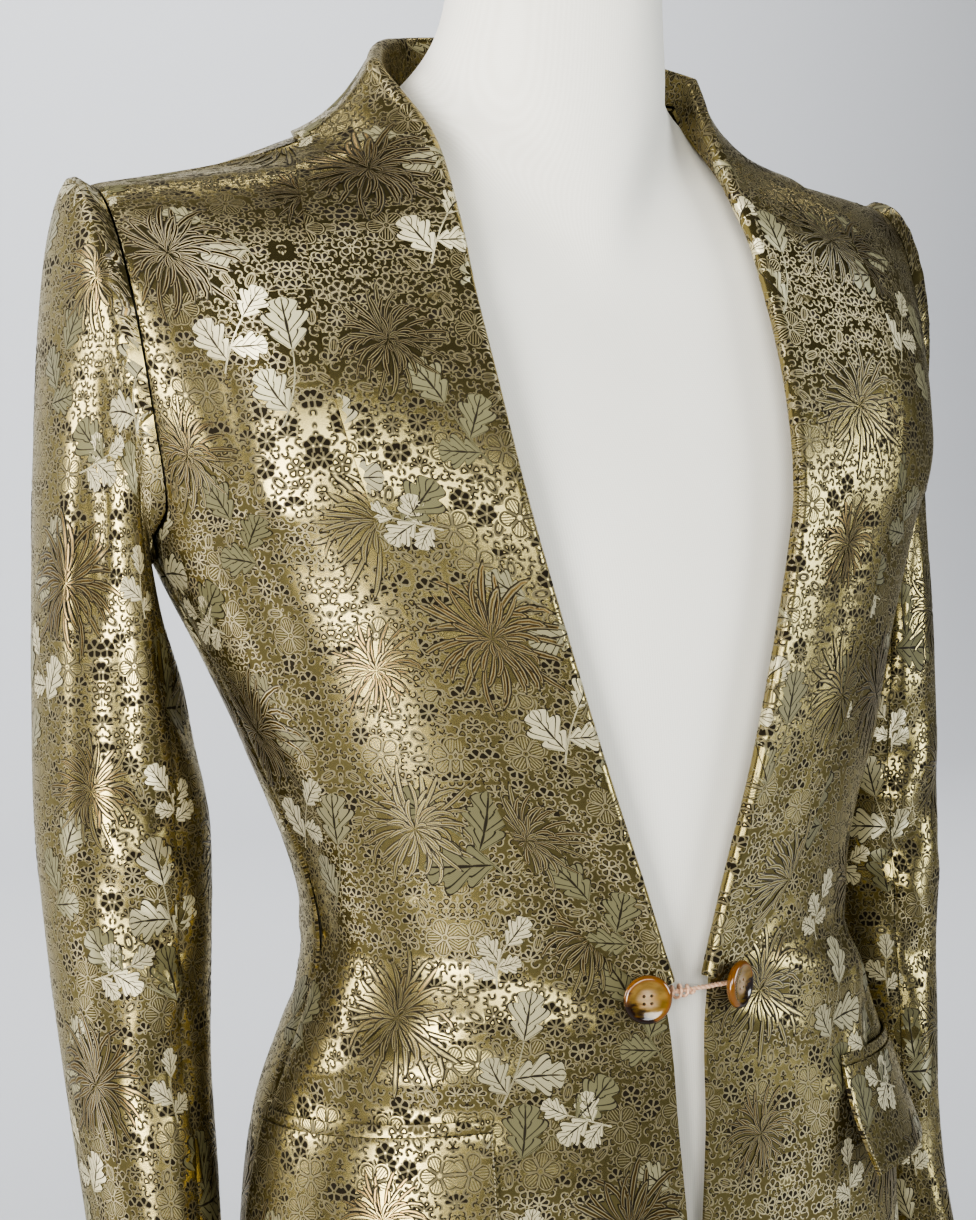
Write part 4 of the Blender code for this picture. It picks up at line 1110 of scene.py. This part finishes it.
MIRROR_WIDTH = 57       # millimetres from one mirror line of the filling to the next
LARGE_CELL, SMALL_CELL, CURL_CELL = 31, 10.6, 4.4   # about how far apart its figures are, in millimetres
FINE = .2               # how soft the edges of its lines are
ROUND = 6.3             # a random share of these radians turns a figure any way round
THREAD_LEAN = .50       # how far the figures' threads face up the cloth
SATIN, LINE, DARK = (.285, .235, .105), (.29, .25, .15), (.020, .013, .006)
SATIN_GLINT = (1, .95, .80)


def petal_shape(angle, far, petals, tip, root, rounding):
    """The depth inside a ring of petals in millimetres, and the place across each, from 0 to 1."""
    place = (angle * petals / (2 * math.pi) + .25).maths("FRACT")
    beside = abs(place - .5) * 2
    side = (beside * -1 + .88) * far * math.pi / petals
    end = (beside * beside * -rounding + tip) - far
    return side.least(end).least(far - root), beside


def polar(x, y):
    return (x * x + y * y).maths("SQRT"), y.maths("ARCTAN2", x)


def filling(finish, across, up):
    """The small woven filling: its tan lines and its dark threads, from a place in millimetres."""
    folded = across.maths("PINGPONG", MIRROR_WIDTH)
    # large flowers of five ribbed petals, in some of the widest cells
    x, y, (chance, turn, _) = finish.cells(folded, up + 9, LARGE_CELL, .55)
    far, angle = polar(x, y)
    large, beside = petal_shape(angle + turn * ROUND, far, 5, 9.6, 1.5, 3.6)
    large_here = chance.within(.50, .01)
    large = large * large_here - (large_here * -20 + 20)
    spacing = beside * far * .63
    large_rib = ((spacing / 1.35).maths("FRACT") - .5).line(.36, FINE) * large.beyond(.7)
    # small flowers, half daisies and pods
    x, y, (kind, count, turn) = finish.cells(folded, up, SMALL_CELL, .75)
    far, angle = polar(x, y)
    small, _ = petal_shape(angle, far, (count * 3.99 + 5).maths("FLOOR"), 4.9, .9, 1.5)
    upper = y.beyond(-.6, FINE).most(turn.beyond(.72, .02))
    cosine, sine = (turn * ROUND).maths("COSINE"), (turn * ROUND).maths("SINE")
    pod_x, pod_y = x * cosine + y * sine, y * cosine - x * sine
    pod_far, _ = polar(pod_x / 2.0, pod_y / 3.9)
    pod = (pod_far * -1 + 1) * 2.0
    pod_rib = ((pod_x * .95 + .5).maths("FRACT") - .5).line(.36, FINE) * (pod - .5).beyond(0)
    is_pod = kind.beyond(.74, .01)
    shape = finish.mix(is_pod, small, pod)
    shown = upper.most(is_pod) * large.within(-1.0, .3)
    outline = shape.line(.70, FINE) * shown
    filled = shape.beyond(.60, FINE) * kind.within(.40, .02)
    inside = filled.most((shape - .66).line(.64, FINE)) * shown
    # small curls, each with a drop at one end, fill what is left
    arc_x, arc_y, (arc_turn, arc_size, _) = finish.cells(folded + 3.3, up + 1.7, CURL_CELL, .85)
    arc_far, arc_angle = polar(arc_x, arc_y)
    opened = (arc_angle - arc_turn * 2 * math.pi).maths("COSINE")
    reach = arc_size * .5 + 1.45
    present = opened.within(.55, .1)
    free = (shape * shown).within(-.55, .1).most(shown.within(.5, .1)) * large.within(-.9, .1)
    free = free * finish.mix(shown, free, shape.within(-.55, .1))
    end = arc_turn * 2 * math.pi + .95
    drop, _ = polar(arc_x - reach * end.maths("COSINE"), arc_y - reach * end.maths("SINE"))
    arc = ((arc_far - reach).line(.74, FINE) * present).most((drop - .74).line(.34, FINE))
    arc_edge = ((arc_far - reach + .64).line(.72, FINE) * present).most(drop.within(.60, FINE))
    lines = outline.most(large.line(.62, FINE)).most(large_rib).most(pod_rib * is_pod * shown)
    lines = lines.most(arc * free)
    dark = inside.most((large - .58).line(.45, FINE)).most(arc_edge * free)
    return lines, dark


def threads_by_turns(across, up):
    """1 and -1 by turns: the floating threads face up and down the cloth, one beside the other."""
    return ((across * 1.1 + up * 1.3).maths("FRACT") - .5).beyond(0, .2) * 2 - 1


def brocade():
    """Gold satin with a filling of fine tan lines that are edged in dark brown."""
    finish = Finish("brocade")
    u, v, _ = finish.flat_cloth("weave")
    across, up = u * 1000, v * 1000
    lines, edges = filling(finish, across, up)
    clear = finish.attribute("clearing")
    woven = (clear * 1000).beyond(0, .2)
    lines, edges = lines * woven, edges * woven
    tone = finish.noise(finish.point(across * .012, up * .035), 1.0)
    satin = finish.blend(tone, tuple(c * .86 for c in SATIN), tuple(c * 1.12 for c in SATIN))
    colour = finish.blend(lines, finish.blend(edges, satin, DARK), LINE)
    thread = lines.most(edges)
    slub = finish.noise(finish.point(across * .5, up * 3.5), 1.0, 3)
    edge_only = (edges - lines).most(0)
    sway = threads_by_turns(across, up)
    finish.set(Base_Color=colour, Metallic=finish.mix(edge_only, lines * -.30 + .90, .3),
               Roughness=finish.mix(thread, slub * .08 + .20, finish.mix(edge_only, .32, .7)),
               Specular_Tint=SATIN_GLINT, Anisotropic=.4)
    finish.set(Tangent=finish.node("Tangent", "Tangent", {"direction_type": "UV_MAP", "uv_map": "weave"}))
    finish.bump(slub, .00006, .6, Normal=finish.leaning(lines.most(edges) * sway))
    return finish.material


def plain(name, colour, roughness, metallic=0.0):
    finish = Finish(name)
    finish.set(Base_Color=colour, Roughness=roughness, Metallic=metallic)
    return finish.material


def horn(side):
    """Polished horn: amber, with a painted highlight that makes its middle pale, a dark cloud to one side and
    fine streaks.
    """
    finish = Finish("horn " + side)
    centre, _facing = button_place(side)
    ground = finish.node("TexCoord", "Object")
    place = finish.node("Mapping", "Vector", Vector=ground, Location=tuple(-centre * 1000), Scale=(1000,) * 3)
    x, y, z = finish.parts(place)
    streaks = finish.noise(finish.point(x * .12 + z * .05, y * .12, z * .30), 1.0, 3)
    far = (x * x + z * z + y * y).maths("SQRT") / 12
    cloud = (x * (-.05 if side == "right" else .06) - z * .055) + streaks * 1.3
    amber = finish.blend(streaks.beyond(.5, .5), (.15, .088, .014), (.27, .160, .040))
    # paler towards the middle: a painted highlight, not a colour of the horn
    pale = finish.blend((far + streaks * .5).within(.66, .5), amber, (.50, .37, .24))
    rimmed = finish.blend(far.beyond(.90, .16), pale, (.20, .085, .018))
    colour = finish.blend(cloud.beyond(1.12, .34), rimmed, (.020, .009, .005))
    finish.set(Base_Color=colour, Roughness=streaks * .08 + .10, IOR=1.56, Coat_Weight=.6,
               Coat_Roughness=.05, Subsurface_Weight=.10, Subsurface_Scale=.003)
    finish.bump(streaks, .00005, .4)
    return finish.material


def thread():
    """Peach silk thread with a fine twist."""
    finish = Finish("thread")
    x, y, z = finish.place()
    twist = ((x * 2400 + z * 2100).maths("SINE") * .5 + .5)
    fuzz = finish.noise(finish.point(x, y, z), 1500, 3)
    colour = finish.blend(twist * .6 + fuzz * .4, (.56, .30, .17), (.88, .62, .44))
    finish.set(Base_Color=colour, Roughness=fuzz * .2 + .5, Sheen_Weight=.4, Sheen_Roughness=.4)
    finish.bump(twist, .0001, .7)
    return finish.material


def jersey():
    """Cream cotton jersey: columns of small stitches, a little uneven."""
    finish = Finish("jersey")
    x, y, z = finish.place()
    column = ((x + y * .8) * 4600).maths("SINE") * .5 + .5
    row = (z * 6200 + column * 1.5).maths("SINE") * .5 + .5
    cloud = finish.noise(finish.point(x, y, z), 9, 3)
    stitch = column * .6 + row * .4
    colour = finish.blend(cloud * .6 + stitch * .4, (.70, .66, .57), (.84, .81, .73))
    finish.set(Base_Color=colour, Roughness=cloud * .1 + .78, Sheen_Weight=.25, Sheen_Roughness=.5)
    finish.bump(stitch, .00012, .5)
    return finish.material


def wood():
    """Dark turned wood under a thin varnish."""
    finish = Finish("wood")
    x, y, z = finish.place()
    grain = finish.noise(finish.point(x * 6, y * 70, z * 40), 1.0, 5, .6)
    rings = ((y * 60 + grain * 2.2).maths("SINE") * .5 + .5)
    colour = finish.blend(rings * .6 + grain * .4, (.075, .032, .014), (.22, .105, .045))
    finish.set(Base_Color=colour, Roughness=grain * .25 + .26, Coat_Weight=.3, Coat_Roughness=.15)
    finish.bump(grain, .0003, .3)
    return finish.material


def steel():
    """Brushed steel, with its fine marks running round the pole."""
    finish = Finish("steel")
    x, y, z = finish.place()
    marks = finish.noise(finish.point(x * 30, y * 30, z * 1400), 1.0, 3)
    finish.set(Base_Color=finish.blend(marks, (.44, .45, .46), (.62, .63, .64)),
               Roughness=marks * .2 + .2, Metallic=1.0)
    finish.bump(marks, .00005, .4)
    return finish.material


def petals():
    """Petals of the same satin, each drawn by two strokes of the filling's thread."""
    finish = Finish("flowers")
    side, length, _ = finish.flat_cloth("figure")
    tone = finish.attribute("tone")
    stroke = side.beyond(.66, .10).most(side.within(.34, .10)).most(length.beyond(.92, .05))
    border = side.beyond(.82, .06).most(side.within(.18, .06)).most(length.beyond(.95, .04))
    warm = finish.blend(tone.beyond(.5, .4), SATIN, (.19, .125, .048))
    colour = finish.blend(border, finish.blend(stroke, warm, LINE), DARK)
    u, v, _ = finish.flat_cloth("weave")
    sway = threads_by_turns(u * 1000, v * 1000)
    finish.set(Base_Color=colour, Metallic=finish.mix(border, stroke * -.42 + .90, 0),
               Roughness=finish.mix(stroke, .24, .32), Specular_Tint=SATIN_GLINT,
               Normal=finish.leaning(stroke * sway))
    return finish.material


def leaves():
    """Leaves of pale silk, some of them grey-green, with dark veins."""
    finish = Finish("leaves")
    side, length, _ = finish.flat_cloth("figure")
    tone = finish.attribute("tone")
    beside = abs(side - .5) * 2
    slant = length - beside * .28
    vein = ((slant * 5).maths("FRACT") - .5).line(.15, .08) * beside.beyond(.08, .04)
    dark = vein.most(beside.within(.06, .05)).most(beside.beyond(.93, .05))
    ribs = ((slant * 34).maths("FRACT") - .5).line(.5, .4)
    pale = finish.blend(tone.beyond(.5, 1.0), (.17, .16, .085), (.78, .70, .47))
    colour = finish.blend(dark, finish.blend(ribs * .65, pale, (.27, .24, .13)), DARK)
    finish.set(Base_Color=colour, Metallic=.25, Roughness=finish.mix(dark, .36, .7),
               Specular_Tint=(1, .97, .88), Normal=finish.leaning(dark * -.6 + .8))
    return finish.material


def silk():
    """Pale gold sewing silk."""
    finish = Finish("silk")
    x, y, z = finish.place()
    fibre = finish.noise(finish.point(x, y, z), 2600, 2)
    finish.set(Base_Color=finish.blend(fibre, (.34, .29, .17), (.60, .54, .37)), Roughness=fibre * .2 + .32,
               Sheen_Weight=.3, Sheen_Roughness=.4)
    return finish.material


MATERIALS = {
    "brocade": brocade(),
    "silk": silk(),
    "flowers": petals(),
    "leaves": leaves(),
    "jersey": jersey(),
    "thread": thread(),
    "wood": wood(),
    "steel": steel(),
}


FORM_VOXEL = .0055      # spacing of the form's points before they are smoothed
FORM_ENDS = .012        # how much of each end keeps its edge
FORM_SMOOTHING = 26     # rounds


def form_body():
    """The dress form: its solid made smooth."""
    bm = bmesh.new()
    bm.from_mesh(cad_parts["form_torso"].data)
    bmesh.ops.remove_doubles(bm, verts=bm.verts, dist=.00005)
    bmesh.ops.recalc_face_normals(bm, faces=bm.faces)
    mesh = bpy.data.meshes.new("form_jersey")
    bm.to_mesh(mesh)
    bm.free()
    rough = placed("form_remeshing", mesh)
    remesh = rough.modifiers.new("even points", "REMESH")
    remesh.mode = "VOXEL"
    remesh.voxel_size = FORM_VOXEL
    smooth = made_mesh(rough)
    bpy.data.objects.remove(rough)
    bm = bmesh.new()
    bm.from_mesh(smooth)
    low, high = min(v.co.z for v in bm.verts), max(v.co.z for v in bm.verts)
    soft = [v for v in bm.verts if low + FORM_ENDS < v.co.z < high - FORM_ENDS]
    for _ in range(FORM_SMOOTHING):
        bmesh.ops.smooth_vert(bm, verts=soft, factor=.5, use_axis_x=True, use_axis_y=True, use_axis_z=True)
    bm.to_mesh(smooth)
    bm.free()
    smooth.shade_smooth()
    smooth.set_sharp_from_angle(angle=math.radians(50))
    return new_piece("form_jersey", smooth, MATERIALS["jersey"], ["form_torso"])


BUTTON_PROFILE = ((0, .0070), (.0006, .0102), (.0022, .0117), (.0036, .0120), (.0047, .0113),
                  (.0052, .0100), (.0046, .0078), (.0040, .0050), (.0039, .0024))
BUTTON_TURN = {"right": -16, "left": 31}     # degrees outward from straight ahead
BUTTON_OUT = {"right": .0240, "left": .0220}     # from the centre front
BUTTON_GAP = .0058      # from the front to the button's back
BUTTON_SIDES, HOLE_SIDES = 72, 16
HOLE_OUT, HOLE_RADIUS = .0019, .0008


def button_place(side):
    """The middle of a button's back, and the way that the button faces."""
    sign = -1 if side == "right" else 1
    at = row_at_height(LINK_HEIGHT)
    seat = body(FRONT, at, share_at(FRONT, at, BUTTON_OUT[side])[0])
    turn = math.radians(BUTTON_TURN[side])
    facing = np.array([math.sin(turn), -math.cos(turn), 0])
    return np.array([sign * seat[0], seat[1], seat[2] + NAPE_HEIGHT]) + facing * BUTTON_GAP, facing


def turned(profile, sides, centre, axis):
    """A solid turned from (distance along the axis, radius) points round an axis."""
    axis = unit(np.array(axis, float))
    first = unit(np.cross(axis, (0, 0, 1)))
    second = np.cross(axis, first)
    angles = np.linspace(0, 2 * math.pi, sides, endpoint=False)
    circle = np.cos(angles)[:, None] * first + np.sin(angles)[:, None] * second
    points = [np.array(centre) + axis * distance + radius * circle for distance, radius in profile]
    mesh = bpy.data.meshes.new("turned")
    index = np.arange(len(profile) * sides).reshape(len(profile), sides)
    after = np.roll(index, -1, 1)
    quads = np.stack([index[:-1], after[:-1], after[1:], index[1:]], -1).reshape(-1, 4)
    mesh.from_pydata(np.concatenate(points).tolist(), [],
                     quads.tolist() + [index[0].tolist(), index[-1].tolist()])
    face_outward(mesh)
    return mesh


def button(side):
    """A domed button of turned horn, with four holes drilled through it."""
    centre, facing = button_place(side)
    table = {k: (k, *row) for k, row in enumerate(BUTTON_PROFILE)}
    profile = along(table, np.linspace(0, len(table) - 1, 33))
    blank = placed("blank", turned(profile, BUTTON_SIDES, centre, facing))
    across = unit(np.cross(facing, (0, 0, 1)))
    drills = []
    for x, z in ((-1, -1), (1, -1), (1, 1), (-1, 1)):
        place = centre + HOLE_OUT * (x * across + z * np.array([0, 0, 1]))
        bore = ((-.002, HOLE_RADIUS), (.008, HOLE_RADIUS))
        drill = placed("drill", turned(bore, HOLE_SIDES, place, facing))
        cut = blank.modifiers.new("hole", "BOOLEAN")
        cut.operation = "DIFFERENCE"
        cut.object = drill
        drills.append(drill)
    pierced = made_mesh(blank)
    for thing in (blank, *drills):
        bpy.data.objects.remove(thing)
    pierced.shade_smooth()
    pierced.set_sharp_from_angle(angle=math.radians(40))
    return new_piece(f"button_{side}_horn", pierced, horn(side), [f"button_{side}"])


def strand_mesh(routes, radius):
    """One mesh of round strands along several routes."""
    curve = bpy.data.curves.new("strand", "CURVE")
    curve.dimensions = "3D"
    curve.bevel_depth = radius
    curve.bevel_resolution = 2
    curve.use_fill_caps = True
    for route in routes:
        spline = curve.splines.new("POLY")
        spline.points.add(len(route) - 1)
        for point, place in zip(spline.points, route):
            point.co = (*place, 1)
    thing = placed("strand", curve)
    mesh = made_mesh(thing)
    bpy.data.objects.remove(thing)
    mesh.shade_smooth()
    return mesh


def link_route():
    """The link's middle line, from behind one button, over the gap, to behind the other."""
    route = []
    for side, inward in (("right", 1), ("left", -1)):
        centre, facing = button_place(side)
        toward = unit(np.cross(facing, (0, 0, inward)))
        behind = centre - facing * (LINK_RADIUS + 3 * SEAM)
        stretch = [behind - toward * .003, behind + toward * .004,
                   behind + np.array([inward * .011, 0, 0]) - facing * .0004]
        route += stretch if side == "right" else stretch[::-1]
    table = {k: (k, *point) for k, point in enumerate(route)}
    return along(table, np.linspace(0, len(route) - 1, 60))


STRANDS, TWIST, TWIST_RADIUS = 3, .006, .00066      # strands in the core, length of a twist, its radius
STRAND_RADIUS = .00074
WRAPS, WRAPPED = 4, (.30, .54)      # turns of the loose strand, and the shares of the run that they take
WRAP_RADIUS, WRAP_SLACK = .0019, .0013


def link():
    """Twisted strands from button to button, with a loose one wrapped round them."""
    core = link_route()
    tangent = unit(np.gradient(core, axis=0))
    side = unit(np.cross(tangent, (0, 0, 1)))
    up = np.cross(side, tangent)
    run = run_of(core)
    routes = []
    for k in range(STRANDS):
        angle = run / TWIST * 2 * math.pi + k * 2 * math.pi / STRANDS
        routes.append(core + TWIST_RADIUS * (np.cos(angle)[:, None] * side + np.sin(angle)[:, None] * up))
    count = 110
    wrapped = np.linspace(*WRAPPED, count) * run[-1]
    middle, beside, above = (np.stack([np.interp(wrapped, run, line[:, k]) for k in range(3)], -1)
                             for line in (core, side, up))
    angle = np.linspace(0, WRAPS * 2 * math.pi, count)[:, None]
    loose = (WRAP_RADIUS + WRAP_SLACK * np.sin(np.linspace(0, math.pi, count)) ** 2)[:, None]
    routes.append(middle + loose * (np.cos(angle) * beside + np.sin(angle) * above))
    mesh = strand_mesh(routes, STRAND_RADIUS)
    return new_piece("link_strands", mesh, MATERIALS["thread"], ["button_link"])


CAMERA_PLACE = (-.5121, -1.0051, .729)
CAMERA_TURN = (-25.7, 5.29, -1.24)      # heading, pitch down and roll in degrees
FOCAL_PIXELS, PICTURE_HEIGHT = 2063, 1220
SENSOR = 36             # its longer side in millimetres


def camera():
    """The photographed view."""
    heading, pitch, roll = (math.radians(angle) for angle in CAMERA_TURN)
    forward = Vector((-math.sin(heading) * math.cos(pitch), math.cos(heading) * math.cos(pitch),
                      -math.sin(pitch)))
    right = Vector((math.cos(heading), math.sin(heading), 0))
    up = right.cross(forward)
    turned_right = math.cos(roll) * right + math.sin(roll) * up
    turned_up = math.cos(roll) * up - math.sin(roll) * right
    place = Matrix((turned_right, turned_up, -forward)).transposed().to_4x4()
    place.translation = CAMERA_PLACE
    data = bpy.data.cameras.new("camera")
    data.sensor_width = SENSOR
    data.lens = FOCAL_PIXELS / PICTURE_HEIGHT * SENSOR
    thing = placed("camera", data)
    thing.matrix_world = place
    bpy.context.scene.camera = thing


# The lamps: place, the point each one faces, size, watts, spread in degrees, and tint.
LAMPS = {
    "left front": ((-1.50, -1.17, .94), (0, 0, 1.18), (.7, 1.8), 8.8, 64, (1, 1, 1)),
    "left back": ((-2.95, .95, 1.10), (0, 0, .90), (1.2, 1.2), 8.2, 70, (1, 1, 1)),
    "front": ((-.9, -3.1, 1.40), (0, 0, .80), (2.6, 1.2), 14.5, 80, (.95, .98, 1)),
    "right": ((2.6, -1.9, .90), (0, 0, .80), (1.6, 1.4), 12, 80, (.88, .94, 1)),
    "wall": ((0, .9, 2.6), (0, 3.4, .9), (4.6, .6), 122, 180, (1, 1, 1)),
}
WALL_AWAY, WALL_BEND, WALL_HEIGHT, FLOOR_HALF = 3.4, 1.0, 4.5, 6


def lamp(name, place, aim, size, power, spread, tint):
    """A soft lamp. The picture shows its light and not the lamp itself."""
    data = bpy.data.lights.new(name, "AREA")
    data.shape = "RECTANGLE"
    data.size, data.size_y = size
    data.energy = power
    data.spread = math.radians(spread)
    data.color = tint
    thing = placed(name, data)
    thing.location = place
    thing.rotation_euler = (Vector(aim) - Vector(place)).to_track_quat("-Z", "Y").to_euler()
    thing.visible_camera = False


def studio():
    """A pale floor that curves up into a wall, and soft light."""
    world = bpy.data.worlds.new("room")
    world.use_nodes = True
    shade = world.node_tree.nodes["Background"]
    shade.inputs["Color"].default_value = (.92, .95, 1, 1)
    shade.inputs["Strength"].default_value = .08
    bpy.context.scene.world = world
    bend = WALL_AWAY - WALL_BEND
    profile = [(-4, 0), (bend, 0)]
    profile += [(bend + WALL_BEND * math.sin(angle), WALL_BEND - WALL_BEND * math.cos(angle))
                for angle in np.linspace(.1, math.pi / 2, 12)]
    profile += [(WALL_AWAY, WALL_HEIGHT)]
    points = [(x, y, z) for x in (-FLOOR_HALF, FLOOR_HALF) for y, z in profile]
    count = len(profile)
    faces = [[k, k + 1, count + k + 1, count + k] for k in range(count - 1)]
    mesh = bpy.data.meshes.new("floor")
    mesh.from_pydata(points, [], faces)
    mesh.shade_smooth()
    mesh.materials.append(plain("floor", (.62, .63, .65), .8))
    placed("floor", mesh)
    for name, values in LAMPS.items():
        lamp(name, *values)
    bpy.context.scene.view_settings.look = "AgX - High Contrast"


FLAT_FLOWERS, FLAT_LEAVES, CIRCLES = woven_figures()
LAYING, SEWING = laying_tree(), sewing_tree()

camera()
studio()
for side_name, side in SIDES:
    front_cloth(f"front_{side_name}", side)
    back_cloth(f"back_{side_name}", side)
    sleeve_cloth(f"sleeve_top_{side_name}", side, BACK_TURN - 2 * math.pi, FRONT_TURN, 64)
    sleeve_cloth(f"sleeve_under_{side_name}", side, FRONT_TURN, BACK_TURN, 34)
    collar_cloth(f"collar_{side_name}", side)
    pocket_cloth(f"flap_{side_name}", side, spans(16) * FLAP_DEPTH, FLAP_WALL, FLAP_FLARE[side_name])
    pocket_cloth(f"jetting_{side_name}", side, np.linspace(-JETTING_DEPTH, -SEAM, 9), JETTING_WALL, (0, 0))
    button(side_name)
link()
form_body()
for node, finish in (("form_neck_cap", "wood"), ("form_pole", "steel"), ("form_base", "wood")):
    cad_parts[node].material_slots[0].material = MATERIALS[finish]

for sheet in (FLAT_FLOWERS, FLAT_LEAVES):
    bpy.data.objects.remove(sheet)
